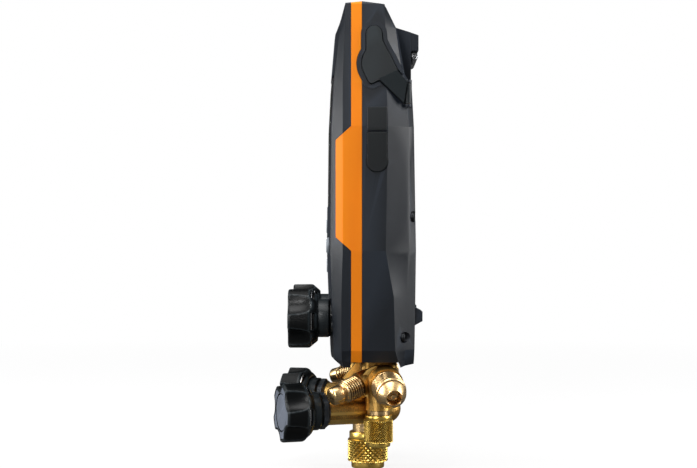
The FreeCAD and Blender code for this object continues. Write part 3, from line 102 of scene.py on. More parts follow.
# Knob: its size, and the scoops round it, which are deepest at its face
KNOB_RADIUS = 14.6
KNOB_LENGTH = 14.6
KNOB_POINTS = 240
SCOOPS = 5
SCOOP_PHASE = {"lower": 29.0, "upper": 32.6}
SCOOP_RADIUS = 8.6
SCOOP_DEPTH = 3.0
SCOOP_LENGTH = 12.0
SCOOP_EASE = 0.22
SCOOP_RUNOUT, SCOOP_LEAST = 0.15, 0.01

# Knob: heights and radii of its rear, then of the flare up to its full radius
KNOB_REAR = ((3.0, 5.2), (3.0, 9.6), (0.3, 9.9), (0.0, 10.2))
KNOB_FLARE = (
    (0.0, 10.9), (0.15, 11.25), (0.5, 11.6), (1.3, 12.3), (1.6, 12.55), (2.8, 13.6), (3.6, 14.25),
    (3.62, 14.26), (4.2, 14.53),
)
NOTCH_SPAN = (1.4, 3.61)
NOTCH_HALF = math.radians(18)
NOTCH_RADIUS = 11.6
BODY_START = 4.8
BODY_STEPS = 22
EDGE_ROUND = 1.1
EDGE_STEPS = 6

# Knob face: depths and insets of its outline, the field inside it, and the disc with its looks
BODY, DISC = 0, 1
FACE_GROOVE = ((0.02, 0.25), (0.35, 0.4), (0.35, 0.6), (0.2, 0.75))
FIELD_DEPTH, FIELD_INSET = FACE_GROOVE[-1]
FIELD_RADIUS = 9.6
KNOB_DISC = (
    (0.25, 9.45, BODY), (0.8, 9.35, BODY), (0.8, 8.85, BODY),
    (0.35, 8.75, DISC), (0.3, 8.2, DISC), (0.3, 3.6, DISC), (0.3, 1.6, DISC),
)

# Collar: half its width over flats, the radius that rounds its corners, and its hub
COLLAR_POINTS = 144
HEXAGON_FLAT, HEXAGON_CORNER = 8.35, 9.1
HEXAGON_CHAMFER = 8.1, 8.7
HEXAGON_RINGS = 4
HUB_FRONT = ((-0.5, 9.4), (-0.1, 9.2), (0.0, 8.9), (0.0, 5.6), (-2.0, 5.6))
HUB_OVERLAP = 2.4

# Steel ring behind a knob's notches
GRIP_POINTS = 120
GRIP_RING = (
    (2.7, 11.4), (2.7, 13.2), (2.85, 13.45), (3.2, 13.5), (3.45, 13.35), (3.5, 13.1), (3.5, 11.4),
)

# Side connection: its axis, its thread from the root to short of the nose, and the profiles of
# its foot, its shoulder from the nose on, and its mouth from the tip back
SIDE_ROOT = (41.0, 17.8, 49.6)
SIDE_TIP = (59.0, 21.7, 44.2)
SIDE_NOSE = 5.6
SIDE_POINTS = 120
SIDE_PITCH = 1.411
SIDE_THREAD_RADIUS, SIDE_THREAD_DEPTH = 7.94, 0.85
SIDE_THREAD_START, SIDE_THREAD_SHORT = 3.4, 0.6
SIDE_THREAD_STEPS = 9
SIDE_FOOT = ((3.0, 6.9), (3.2, 7.3))
SIDE_SHOULDER = ((-0.3, 7.0), (0.0, 6.98), (1.3, 6.98), (1.5, 6.9))
SIDE_MOUTH = (
    (-0.25, 4.2), (-0.05, 3.95), (0.0, 3.8), (-0.1, 3.65), (-0.4, 3.6), (-5.6, 3.6), (-5.6, 1.3),
)

# Parking stub: the same
STUB_ROOT = (36.0, 8.5, 49.3)
STUB_END = (47.3, -8.65, 43.27)
STUB_NOSE = 5.5
STUB_POINTS = 96
STUB_PITCH = 1.27
STUB_THREAD_RADIUS, STUB_THREAD_DEPTH = 5.55, 0.72
STUB_THREAD_START, STUB_THREAD_SHORT = 4.5, 1.6
STUB_THREAD_STEPS = 10
STUB_FOOT = ((4.4, 5.2),)
STUB_GROOVE = ((-1.4, 4.1), (-1.2, 3.9), (-0.6, 3.9), (-0.4, 4.1), (-0.1, 4.35), (0.2, 4.4))
STUB_TIP = ((-1.6, 4.4), (-1.0, 4.2), (-0.5, 3.75), (-0.15, 3.0), (0.0, 2.0), (0.0, 0.6))

# Caps: edge and foot as shares of the radius, and profiles with radii counted from those two
EDGE_SHARE, FOOT_SHARE = 0.92, 0.82
CAP_MOUTH = ((0.9, -1.9), (0.0, -1.6), (0.0, -0.45), (0.12, -0.15), (0.4, 0.0))
CAP_RIM = ((-0.1, 0.0), (0.0, -0.05), (0.1, 0.1))
CAP_LIP = ((-0.1, 0.2), (0.0, 0.0))
CAP_FOOT = ((-1.0, 0.0), (-0.35, -0.15), (-0.1, -0.5), (0.0, -0.9), (0.0, -2.2), (-0.25, -2.5))
CAP_CENTRE = ((-0.25, 1.0),)
KNURL_GAP = 0.45
KNURL_RUNOUT = 0.15
KNURL_STEPS = 8

# How far the flanks of a thread and of a knurl are cut off flat at the crest
THREAD_CREST = 1.35
KNURL_CREST = 1.25

# Digits: width, bar and step as shares of the height, a bar's ends as shares of its thickness,
# and how far the point stands back and half its size
DIGIT_WIDTH, DIGIT_BAR, DIGIT_STEP = 0.52, 0.10, 0.78
BAR_END, BAR_SHOULDER = 0.7, 1.2
POINT_BACK, POINT_HALF = 0.14, 0.07

# Dials on the display: place and arc, marks by length and half width, and bars inside them
PRINT_DEPTH = (-4.68, -4.6)
DIALS = ((-17.5, 9, "4.82"), (17.5, 20, "16.3"))
DIAL_HEIGHT, DIAL_RADIUS = 173.0, 14.5
DIAL_START, DIAL_SWEEP, DIAL_MARKS, DIAL_GROUP = 220, 260, 31, 5
LONG_MARK, SHORT_MARK = (2.0, 0.16), (1.2, 0.1)
BAR_INNER, BAR_OUTER, BAR_HALF = 5.0, 2.8, 0.5
DIAL_TEXT_LEFT, DIAL_TEXT_HEIGHT, DIAL_TEXT_SIZE = 7.2, 169.6, 5.6

# Readings under the dials, the lines about them, and the bars of the battery at the top
READINGS = ((-28.0, "-3.1"), (-6.2, "42.5"), (18.0, "7.4"))
READING_HEIGHT, READING_SIZE = 145.0, 5.0
DIVIDERS = (-33.5, -11.0, 11.8, 33.5)
DIVIDER_HALF = 0.12
DIVIDER_SPAN = (142.5, 152.5)
RULE_SPAN = (155.4, 155.7)
BATTERY_LEFT, BATTERY_STEP, BATTERY_WIDTH, BATTERY_BARS = 27.0, 1.7, 1.2, 4
BATTERY_SPAN = (192.3, 194.6)

# Marks on the keys, with their depths from a key's foremost point
RAISED = (-0.12, 0.3)
SUNK = (0.2, 0.9)
ARROW = [(-1.9, -1.1), (1.9, -1.1), (0.0, 1.7)]
DASH = (-2.2, -0.3, 2.2, 0.3)
RING_OUTER, RING_INNER, RING_PARTS = 1.9, 1.45, 28

# Studio: the sweep, the light from around and the lamps by place, target, size and power
SWEEP_FRONT, SWEEP_REAR, SWEEP_TOP, SWEEP_HALF = 1.6, 1.2, 2.4, 2.4
SWEEP_CURVE, SWEEP_STEPS = 0.5, 12
SWEEP_DROP = 0.0005
FLOOR_BOUNCE = 0.06
STUDIO_BRIGHT = 0.70
STUDIO_DIM = 0.09
LAMPS = {
    "front": ((0.14, -1.0, 0.40), (0, 0, 0.12), (0.45, 0.8), 11.0),
    "rear": ((0.16, 1.0, 0.40), (0, 0, 0.12), (0.5, 0.8), 10.0),
    "top": ((0.25, -0.1, 1.0), (0, 0, 0.12), (0.6, 0.8), 6.0),
    "near": ((0.95, -0.35, 0.60), (0, 0, 0.12), (0.22, 0.22), 3.5),
    "low": ((0.95, -0.42, 0.10), (0, 0, 0.06), (0.45, 0.30), 2.2),
}

# Looks of the slots, and of the nodes that differ from their slot
SLOT_LOOK = {
    "charcoal_plastic": "charcoal", "orange_overmould": "orange", "knob_plastic": "knob",
    "soft_black": "soft", "clear_window": "window", "display_panel": "panel",
    "circuit_board": "board", "key_plastic": "keys", "sight_glass": "glass",
    "bright_steel": "steel", "cast_brass": "cast", "turned_brass": "brass",
    "cell_metal": "cells", "tray_plastic": "tray",
}
NODE_LOOK = {
    "housing_screws": "dark_steel", "data_socket": "dark_steel",
    "port_cover": "port", "port_cover_anchor": "port",
    "probe_cover_left": "cover", "probe_cover_right": "cover", "battery_door": "cover",
}

# Sockets of a mix node for colours, and of one for numbers
MIX_FACTOR, MIX_FIRST, MIX_SECOND, MIX_COLOR = 0, 6, 7, 2
NUMBER_FIRST, NUMBER_SECOND = 2, 3
# Samples of the painted shade in cavities
CAVITY_SHADE_SAMPLES = 8


# Node helpers

def add_node(tree, kind, values=None):
    """Node of a kind, with values for some of its inputs."""
    node = tree.nodes.new("ShaderNode" + kind)
    for socket, value in (values or {}).items():
        node.inputs[socket].default_value = value
    return node


def shade(color, factor):
    return tuple(min(1.0, c * factor) for c in color)


class Nodes:
    """Node tree of one material, with short calls for the nodes that recur."""

    def __init__(self, name, values=None):
        self.material = bpy.data.materials.new(name)
        self.material.use_nodes = True
        self.tree = self.material.node_tree
        self.shader = self.tree.nodes["Principled BSDF"]
        for socket, value in (values or {}).items():
            self.shader.inputs[socket].default_value = value
        self.coords = add_node(self.tree, "TexCoord")

    def link(self, start, end):
        self.tree.links.new(start, end)

    def mapping(self, scale):
        node = add_node(self.tree, "Mapping", {"Scale": scale})
        self.link(self.coords.outputs["Object"], node.inputs["Vector"])
        return node.outputs["Vector"]

    def noise(self, scale, detail=3.0, rough=0.5, vector=None):
        values = {"Scale": scale, "Detail": detail, "Roughness": rough}
        node = add_node(self.tree, "TexNoise", values)
        self.link(vector or self.coords.outputs["Object"], node.inputs["Vector"])
        return node.outputs["Fac"]

    def ramp(self, value, stops):
        node = add_node(self.tree, "ValToRGB")
        ramp = node.color_ramp
        while len(ramp.elements) < len(stops):
            ramp.elements.new(0.5)
        for element, (position, color) in zip(ramp.elements, stops):
            element.position = position
            element.color = (*color, 1.0)
        self.link(value, node.inputs["Fac"])
        return node.outputs["Color"]

    def blotches(self, value, color, low, high):
        """A colour that wanders between two strengths of itself."""
        return self.ramp(value, [(0.3, shade(color, low)), (0.7, shade(color, high))])

    def spread(self, value, low, high):
        node = add_node(self.tree, "MapRange", {"To Min": low, "To Max": high})
        self.link(value, node.inputs["Value"])
        return node.outputs["Result"]

    def mix(self, fac, first, second, blend="MIX"):
        node = add_node(self.tree, "Mix")
        node.data_type = "RGBA"
        node.blend_type = blend
        for index, value in ((MIX_FACTOR, fac), (MIX_FIRST, first), (MIX_SECOND, second)):
            socket = node.inputs[index]
            if isinstance(value, (int, float)):
                socket.default_value = value
            elif isinstance(value, tuple):
                socket.default_value = (*value, 1.0)
            else:
                self.link(value, socket)
        return node.outputs[MIX_COLOR]

    def bump(self, height, distance, strength):
        node = add_node(self.tree, "Bump", {"Distance": distance, "Strength": strength})
        self.link(height, node.inputs["Height"])
        return node.outputs["Normal"]

    def edge_highlight_and_wear(self, low, high):
        """White along convex edges and black elsewhere: the mask of painted edge highlights, and on
        brass of edge wear too.
        """
        node = add_node(self.tree, "NewGeometry")
        return self.ramp(node.outputs["Pointiness"], [(low, (0, 0, 0)), (high, (1, 1, 1))])

    def cavity_shade(self, reach, low, high, dark):
        """Painted shade: a dark tint where neighbouring surfaces crowd within a reach, and white
        elsewhere.
        """
        node = add_node(self.tree, "AmbientOcclusion", {"Distance": reach})
        node.samples = CAVITY_SHADE_SAMPLES
        return self.ramp(node.outputs["AO"], [(low, dark), (high, (1, 1, 1))])

    def finish(self, color, rough, normal):
        self.link(color, self.shader.inputs["Base Color"])
        if rough:
            self.link(rough, self.shader.inputs["Roughness"])
        self.link(normal, self.shader.inputs["Normal"])
        return self.material


# Materials

def moulded(name, color, rough, grain=2600.0, depth=0.00005, contrast=0.16, specular=0.5,
            edge=(0.52, 0.60, 2.2)):
    """Injection-moulded plastic with a spark-eroded grain and paler edges, a painted highlight
    along its convex edges.
    """
    n = Nodes(name, {"Specular IOR Level": specular})
    fine = n.noise(grain, detail=2.0, rough=0.6)
    broad = n.noise(38.0, detail=4.0, rough=0.55)
    base = n.blotches(broad, color, 1 - contrast, 1 + contrast)
    # Painted highlight: convex edges are made paler by a factor of the base colour
    low, high, highlight_gain = edge
    highlighted = n.mix(n.edge_highlight_and_wear(low, high), base, shade(color, highlight_gain))
    return n.finish(highlighted, n.spread(fine, rough - 0.07, rough + 0.09), n.bump(fine, depth, 0.7))


def cast_metal(name, dark, light, rough, grain=900.0, depth=0.00014):
    """Sand-cast or forged brass with a coarse skin, paler edges (painted highlight and rubbed wear)
    and painted shade in its hollows.
    """
    n = Nodes(name, {"Metallic": 1.0})
    fine = n.noise(grain, detail=4.0, rough=0.65)
    tone = n.ramp(n.noise(70.0, detail=5.0, rough=0.6), [(0.32, dark), (0.68, light)])
    speck = n.ramp(n.noise(1500.0, detail=2.0, rough=0.7),
                   [(0.42, (0.72, 0.72, 0.72)), (0.62, (1.12, 1.1, 1.06))])
    color = n.mix(1.0, tone, speck, "MULTIPLY")
    # Paler convex edges: painted highlight, and rubbed wear of the brass
    color = n.mix(n.edge_highlight_and_wear(0.53, 0.62), color, shade(light, 1.25))
    # Painted shade in hollows and crevices, multiplied into the colour
    color = n.mix(1.0, color, n.cavity_shade(0.006, 0.25, 0.95, (0.20, 0.13, 0.07)), "MULTIPLY")
    return n.finish(color, n.spread(fine, rough - 0.12, rough + 0.16), n.bump(fine, depth, 0.8))


def turned_metal(name, color, rough, along=(30, 30, 2600), depth=0.00003):
    """Machined metal with fine turning lines across one axis, and painted shade in its grooves and
    thread valleys.
    """
    n = Nodes(name, {"Metallic": 1.0})
    lines = n.noise(1.0, rough=0.6, vector=n.mapping(along))
    base = n.blotches(n.noise(120.0), color, 0.86, 1.1)
    # Painted shade in thread valleys and narrow grooves, multiplied into the colour
    base = n.mix(1.0, base, n.cavity_shade(0.0012, 0.45, 0.92, (0.10, 0.07, 0.04)), "MULTIPLY")
    return n.finish(base, n.spread(lines, rough - 0.08, rough + 0.12), n.bump(lines, depth, 0.8))


def clear(name, color, rough, index):
    """Clear plastic or glass with faint smears in its gloss."""
    n = Nodes(name, {"Transmission Weight": 1.0, "IOR": index})
    smear = n.noise(60.0, detail=4.0, rough=0.6)
    tint = n.blotches(smear, color, 0.97, 1.0)
    return n.finish(tint, n.spread(smear, rough * 0.6, rough * 1.8), n.bump(smear, 0.00001, 0.2))


def make_materials():
    return {
        "charcoal": moulded("charcoal_plastic", (0.0064, 0.0088, 0.0130), 0.40, specular=0.34),
        "orange": moulded("orange_overmould", (0.78, 0.172, 0.006), 0.45, depth=0.00003,
                          contrast=0.04, specular=0.12),
        # Knob: near-black, with a strong painted highlight along its scoop outlines and rims
        "knob": moulded("knob_plastic", (0.0017, 0.0022, 0.0025), 0.30, depth=0.00004,
                        specular=0.24, edge=(0.506, 0.545, 14.0)),
        "soft": moulded("soft_black", (0.0100, 0.0118, 0.0140), 0.46, depth=0.00004),
        "cover": moulded("cover_black", (0.0060, 0.0088, 0.0105), 0.46, depth=0.00003,
                         specular=0.36),
        "port": moulded("port_black", (0.0022, 0.0034, 0.0042), 0.46, depth=0.00003,
                        specular=0.3),
        "tray": moulded("tray_plastic", (0.030, 0.033, 0.037), 0.5),
        "keys": moulded("key_plastic", (0.16, 0.18, 0.205), 0.5),
        "board": moulded("circuit_board", (0.02, 0.12, 0.05), 0.35),
        "cells": moulded("cell_sleeve", (0.06, 0.065, 0.075), 0.25, contrast=0.04),
        "cast": cast_metal("cast_brass", (0.56, 0.30, 0.075), (0.86, 0.53, 0.16), 0.36),
        "brass": turned_metal("turned_brass", (0.80, 0.545, 0.26), 0.26),
        "cap": turned_metal("cap_brass", (0.92, 0.63, 0.15), 0.28, (260, 260, 260), 0.00002),
        "hexagon": moulded("collar_hexagon", (0.012, 0.015, 0.019), 0.30),
        "disc": moulded("knob_disc", (0.118, 0.134, 0.168), 0.40, grain=2200.0, depth=0.00010),
        "ink": moulded("display_ink", (0.02, 0.022, 0.025), 0.5, depth=0.00001, contrast=0.05),
        "mark": moulded("key_mark", (0.62, 0.64, 0.66), 0.5, depth=0.00002, contrast=0.05),
        "panel": moulded("display_panel", (0.42, 0.47, 0.44), 0.35, depth=0.00001,
                         contrast=0.03),
        "window": clear("clear_window", (0.90, 0.92, 0.93), 0.03, 1.49),
        "glass": clear("sight_glass", (0.93, 0.97, 0.96), 0.02, 1.5),
        "steel": turned_metal("bright_steel", (0.62, 0.63, 0.65), 0.24),
        "dark_steel": turned_metal("blackened_steel", (0.035, 0.037, 0.040), 0.35),
    }


MATERIAL = make_materials()


# Mesh helpers

def link(name, data):
    made = bpy.data.objects.new(name, data)
    bpy.context.scene.collection.objects.link(made)
    return made


def mesh_of(name, work):
    """Mesh from a bmesh, which ends here."""
    mesh = bpy.data.meshes.new(name)
    work.to_mesh(mesh)
    work.free()
    return mesh


def mark_creases(work):
    """Sharp, bevelled edges where faces turn strongly, or a little between two broad facets."""
    weight = work.edges.layers.float.new("bevel_weight_edge")
    for edge in work.edges:
        if len(edge.link_faces) != 2:
            continue
        turn = math.degrees(edge.calc_face_angle(0.0))
        area = min(face.calc_area() for face in edge.link_faces) / MM ** 2
        if turn > CREASE_ANGLE or (turn > FACET_ANGLE and area > FACET_AREA):
            edge.smooth = False
            edge[weight] = 1.0 if turn > CREASE_ANGLE else FACET_BEVEL


def dressed(node, material):
    """Copy of a CAD node with softened edges, which stands for it."""
    source = frame["nodes"][node]
    work = bmesh.new()
    work.from_mesh(source.data)
    bmesh.ops.remove_doubles(work, verts=work.verts, dist=WELD)
    bmesh.ops.dissolve_limit(work, angle_limit=math.radians(FLAT_ANGLE),
                             verts=work.verts, edges=work.edges)
    bmesh.ops.recalc_face_normals(work, faces=work.faces)
    mark_creases(work)
    mesh = mesh_of(node + "_form", work)
    made = link(node + "_form", mesh)
    for face in mesh.polygons:
        face.use_smooth = True
    bevel = made.modifiers.new("edges", "BEVEL")
    bevel.width = EDGE_WIDTH * MM
    bevel.segments = EDGE_SEGMENTS
    bevel.limit_method = "WEIGHT"
    bevel.use_clamp_overlap = True
    flat = made.modifiers.new("flat", "WEIGHTED_NORMAL")
    flat.keep_sharp = False
    flat.weight = FACET_WEIGHT
    mesh.materials.append(material)
    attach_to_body(made, source["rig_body"])
    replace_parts(made, node)


def attach(made, body, slot_name, *nodes):
    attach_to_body(made, body)
    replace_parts(made, *nodes)


def word_of(side):
    return "right" if side > 0 else "left"


def across(point, side):
    """A point on the right, or its twin on the left."""
    return (point[0] * side, point[1], point[2])


def placed_along(root, axis, up=(0, 0, 1)):
    """Matrix with Z along an axis and Y as near to up as can be, from millimetres."""
    z = Vector(axis).normalized()
    y = (Vector(up) - z * z.dot(Vector(up))).normalized()
    x = y.cross(z)
    turn = Matrix((x, y, z)).transposed().to_4x4()
    return Matrix.Translation(Vector(root) * MM) @ turn @ Matrix.Scale(MM, 4)


def skin(name, rings, place, close, looks, look_of=lambda index: 0):
    """Closed rings of points joined by quads, with the first and the last closed or left open."""
    work = bmesh.new()
    rows = [[work.verts.new(place @ Vector(p)) for p in ring] for ring in rings]
    count = len(rings[0])
    for index, (low, high) in enumerate(zip(rows, rows[1:])):
        for k in range(count):
            after = (k + 1) % count
            face = work.faces.new((low[k], low[after], high[after], high[k]))
            face.material_index = look_of(index)
            face.smooth = True
    first, last = close
    if first:
        work.faces.new(rows[0][::-1]).material_index = look_of(0)
    if last:
        work.faces.new(rows[-1]).material_index = look_of(len(rows) - 2)
    bmesh.ops.recalc_face_normals(work, faces=work.faces)
    mesh = mesh_of(name, work)
    for look in looks:
        mesh.materials.append(MATERIAL[look])
    made = link(name, mesh)
    mesh.set_sharp_from_angle(angle=math.radians(SKIN_ANGLE))
    return made


def ring_at(z, radius, count):
    """Ring of points at a height, with one radius or one that varies round it."""
    points = []
    for k in range(count):
        turn = math.tau * k / count
        r = radius(turn) if callable(radius) else radius
        points.append((r * math.cos(turn), r * math.sin(turn), z))
    return points


def profile_rings(base, profile, count, radius=0.0):
    """Rings of a profile, whose heights and radii are counted from a height and a radius."""
    return [ring_at(base + z, radius + r if radius else r, count) for z, r in profile]


def relief_rings(low, high, total, count, radius_at):
    """Rings between two heights, with a radius that varies with angle and height."""
    rows = []
    for index in range(total + 1):
        z = low + (high - low) * index / total
        rows.append(ring_at(z, lambda turn, z=z: radius_at(turn, z), count))
    return rows


def wave(value):
    """Triangle wave from 0 to 1 and back, once per unit."""
    return 1 - abs(2 * (value % 1.0) - 1)


def thread_rings(low, high, radius, pitch, depth, count, steps):
    """Rings of a helical thread between two heights, with so many to a pitch."""
    def radius_at(turn, z):
        fade = min(1.0, (z - low) / pitch, (high - z) / pitch)
        crest = min(1.0, THREAD_CREST * wave(z / pitch - turn / math.tau))
        return radius - depth * (1 - crest * fade)

    total = max(2, int((high - low) / pitch * steps))
    return relief_rings(low, high, total, count, radius_at)


def knurl_rings(low, high, radius, depth, around):
    """Rings of a diamond knurl between two heights, with so many diamonds around."""
    pitch = math.tau * radius / around

    def radius_at(turn, z):
        fade = min(1.0, 2 * (z - low) / pitch + KNURL_RUNOUT, 2 * (high - z) / pitch + KNURL_RUNOUT)
        along = turn * around / math.tau
        peak = min(wave(along + z / pitch), wave(along - z / pitch))
        return radius - depth * (1 - min(1.0, KNURL_CREST * peak)) * fade

    total = max(2, int((high - low) / pitch * KNURL_STEPS))
    return relief_rings(low, high, total, around * KNURL_STEPS, radius_at)


# Valves

def valve_place(level, side):
    """Matrix of a valve, with Z along its axis from its root."""
    axis = (0, -1, 0)
    if level == "lower":
        axis = (side * math.sin(LOWER_SPLAY), -math.cos(LOWER_SPLAY), 0)
    return placed_along(across(VALVE_ROOT[level], side), axis)


def scoop_outline(turn, z, phase, ground):
    """Radius of a knob with its scoops, at an angle and a height."""
    reach = (KNOB_LENGTH - z) / SCOOP_LENGTH
    depth = SCOOP_DEPTH * math.sqrt(max(0.0, 1 - reach * reach)) + SCOOP_RUNOUT * (1 - reach)
    if depth <= SCOOP_LEAST:
        return ground
    pitch = math.tau / SCOOPS
    offset = (turn - math.radians(phase) + pitch / 2) % pitch - pitch / 2
    centre = KNOB_RADIUS + SCOOP_RADIUS - depth
    inside = SCOOP_RADIUS ** 2 - (centre * math.sin(offset)) ** 2
    if inside <= 0:
        return ground
    scoop = centre * math.cos(offset) - math.sqrt(inside)
    low = min(scoop, ground)
    meeting = math.exp((low - scoop) / SCOOP_EASE) + math.exp((low - ground) / SCOOP_EASE)
    radius = low - SCOOP_EASE * math.log(meeting)
    radius += SCOOP_EASE * math.log(2) * math.exp(-abs(scoop - ground) / SCOOP_EASE)
    return min(radius, ground)


def in_notch(turn, phase):
    """Whether an angle lies in the notch at the middle of a lobe's rear edge."""
    pitch = math.tau / SCOOPS
    offset = (turn - math.radians(phase)) % pitch - pitch / 2
    return abs(offset) < NOTCH_HALF


def knob(level, side):
    """Lobed knob with a rounded edge, an outlined face and a pale disc."""
    phase = SCOOP_PHASE[level] if side > 0 else 180 - SCOOP_PHASE[level]
    top = KNOB_LENGTH
    rings = []
    looks = []

    def plain(z, radius, look=BODY):
        rings.append(ring_at(z, radius, KNOB_POINTS))
        looks.append(look)

    def lobed(z, inset, cut, ground=KNOB_RADIUS, share=0.0, look=BODY, notched=False):
        """A ring with the scoops as they are at the height of a cut, part way to the field."""
        def radius_at(turn):
            if notched and in_notch(turn, phase):
                return NOTCH_RADIUS
            outline = scoop_outline(turn, cut, phase, ground) - inset
            return outline * (1 - share) + FIELD_RADIUS * share
        plain(z, radius_at, look)

    for z, radius in KNOB_REAR:
        plain(z, radius)
    for z, ground in KNOB_FLARE:
        lobed(z, 0.0, z, ground, notched=NOTCH_SPAN[0] < z < NOTCH_SPAN[1])
    for index in range(BODY_STEPS + 1):
        z = BODY_START + (top - EDGE_ROUND - BODY_START) * index / BODY_STEPS
        lobed(z, 0.0, z)
    for index in range(1, EDGE_STEPS + 1):
        turn = math.radians(90 * index / EDGE_STEPS)
        z = top - EDGE_ROUND + EDGE_ROUND * math.sin(turn)
        lobed(z, EDGE_ROUND * (1 - math.cos(turn)), top)
    for depth, inset in FACE_GROOVE:
        lobed(top - depth, EDGE_ROUND + inset, top)
    for share in (0.4, 0.8, 1.0):
        lobed(top - FIELD_DEPTH, EDGE_ROUND + FIELD_INSET, top, share=share, look=DISC)
    for depth, radius, look in KNOB_DISC:
        plain(top - depth, radius, look)
    name = f"{level}_knob_{word_of(side)}"
    place = valve_place(level, side) @ Matrix.Translation((0, 0, KNOB_FACE[level] - top))
    made = skin(name + "_form", rings, place, (False, True), ("knob", "disc"),
                lambda index: looks[index + 1])
    attach(made, name, "knob_plastic", name)


def hexagon(flat, corner):
    """Radius of a hexagon with rounded corners, as a function of the angle."""
    def radius_at(turn):
        offset = (turn + math.pi / 6) % (math.pi / 3) - math.pi / 6
        return min(flat / math.cos(offset), corner)
    return radius_at


def collar(level, side):
    """Black collar behind a knob: a hexagon against the brass, then a round hub."""
    six = hexagon(HEXAGON_FLAT, HEXAGON_CORNER)
    rear = ((0.0, 7.3), (0.0, 7.8), (0.9, hexagon(*HEXAGON_CHAMFER)), (1.1, six), (3.3, six),
            (3.5, 8.5), (3.9, 8.5), (4.9, 9.38), (5.1, 9.4))
    end = KNOB_FACE[level] - KNOB_LENGTH + HUB_OVERLAP
    rings = profile_rings(COLLAR_START[level], rear, COLLAR_POINTS)
    rings += profile_rings(end, HUB_FRONT, COLLAR_POINTS)
    name = f"{level}_collar_{word_of(side)}"
    made = skin(name + "_form", rings, valve_place(level, side), (False, False),
                ("knob", "hexagon"), lambda index: 1 if index < HEXAGON_RINGS else 0)
    attach(made, "housing", "knob_plastic", name)


def grip_ring(level, side):
    """Steel ring inside a knob's rear, seen through the notches in its lobes."""
    rings = profile_rings(KNOB_FACE[level] - KNOB_LENGTH, GRIP_RING, GRIP_POINTS)
    name = f"{level}_knob_{word_of(side)}"
    made = skin(f"{level}_grip_ring_{word_of(side)}", rings + rings[:1],
                valve_place(level, side), (False, False), ("steel",))
    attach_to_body(made, name)


def valves():
    for level in ("upper", "lower"):
        for side in (1, -1):
            knob(level, side)
            collar(level, side)
            grip_ring(level, side)


valves()


# Brass connections and caps

def axis_of(root, tip, side):
    """Matrix along a connection's axis, and how long the axis is."""
    line = Vector(across(tip, side)) - Vector(across(root, side))
    return placed_along(across(root, side), line), line.length


def side_connection(side):
    """Large flare with a helical thread, polished cone and bored nose."""
    place, length = axis_of(SIDE_ROOT, SIDE_TIP, side)
    nose = length - SIDE_NOSE
    rings = profile_rings(0.0, SIDE_FOOT, SIDE_POINTS)
    rings += thread_rings(SIDE_THREAD_START, nose - SIDE_THREAD_SHORT, SIDE_THREAD_RADIUS,
                          SIDE_PITCH, SIDE_THREAD_DEPTH, SIDE_POINTS, SIDE_THREAD_STEPS)
    rings += profile_rings(nose, SIDE_SHOULDER, SIDE_POINTS)
    rings += profile_rings(length, SIDE_MOUTH, SIDE_POINTS)
    name = f"side_connection_{word_of(side)}"
    made = skin(name + "_form", rings, place, (True, False), ("brass",))
    attach(made, "housing", "cast_brass", name)


def parking_stub(side):
    """Small flare with a helical thread, a groove and a rounded blind nose."""
    place, length = axis_of(STUB_ROOT, STUB_END, side)
    nose = length - STUB_NOSE
    rings = profile_rings(0.0, STUB_FOOT, STUB_POINTS)
    rings += thread_rings(STUB_THREAD_START, nose - STUB_THREAD_SHORT, STUB_THREAD_RADIUS,
                          STUB_PITCH, STUB_THREAD_DEPTH, STUB_POINTS, STUB_THREAD_STEPS)
    rings += profile_rings(nose, STUB_GROOVE, STUB_POINTS)
    rings += profile_rings(length, STUB_TIP, STUB_POINTS)
    return skin(f"parking_stub_{word_of(side)}_form", rings, place, (True, True), ("brass",))


def cap(name, place, radius, height, rim, lip, around, depth):
    """Knurled cap from its mouth down: a plain rim, the knurl, a plain lip and a closed end."""
    edge, foot = radius * EDGE_SHARE, radius * FOOT_SHARE
    count = around * KNURL_STEPS
    rings = profile_rings(0.0, CAP_MOUTH, count, edge)
    rings += profile_rings(rim, CAP_RIM, count, edge)
    rings += knurl_rings(rim + KNURL_GAP, height - lip - KNURL_GAP, radius, depth, around)
    rings += profile_rings(height - lip, CAP_LIP, count, foot)
    rings += profile_rings(height, CAP_FOOT, count, foot)
    rings += profile_rings(height, CAP_CENTRE, count)
    made = skin(name + "_form", rings, placed_along(place, (0, 0, -1), (0, 1, 0)), (False, True),
                ("cap",))
    attach(made, name, "turned_brass", name)


def brasswork():
    for side in (1, -1):
        side_connection(side)
    right = parking_stub(1)
    left = parking_stub(-1)
    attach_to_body(left, "housing")
    attach(right, "housing", "turned_brass", "parking_stubs")
    cap("small_cap", (37.5, 14.6, 33.7), radius=7.15, height=15.5, rim=1.9, lip=2.0,
        around=40, depth=0.50)
    cap("large_cap", (-10.0, 10.1, 19.0), radius=10.5, height=19.0, rim=3.6, lip=3.3,
        around=26, depth=0.95)


brasswork()


# Display and keys

def plate(work, corners, depth):
    """Thin closed plate facing the front, from corners in the XZ plane and two depths."""
    y0, y1 = depth
    front = [work.verts.new((x * MM, y0 * MM, z * MM)) for x, z in corners]
    back = [work.verts.new((x * MM, y1 * MM, z * MM)) for x, z in corners]
    work.faces.new(front)
    work.faces.new(back[::-1])
    for k in range(len(corners)):
        after = (k + 1) % len(corners)
        work.faces.new((front[k], back[k], back[after], front[after]))


def oblong(x0, z0, x1, z1):
    return [(x0, z0), (x1, z0), (x1, z1), (x0, z1)]


def made_of(name, work, look, body):
    """Object from a bmesh of closed solids."""
    bmesh.ops.recalc_face_normals(work, faces=work.faces)
    mesh = mesh_of(name, work)
    mesh.materials.append(MATERIAL[look])
    made = link(name, mesh)
    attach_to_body(made, body)


SEGMENTS = {
    "0": "abcdef", "1": "bc", "2": "abged", "3": "abgcd", "4": "fgbc", "5": "afgcd",
    "6": "afgedc", "7": "abc", "8": "abcdefg", "9": "abcdfg", "-": "g",
}


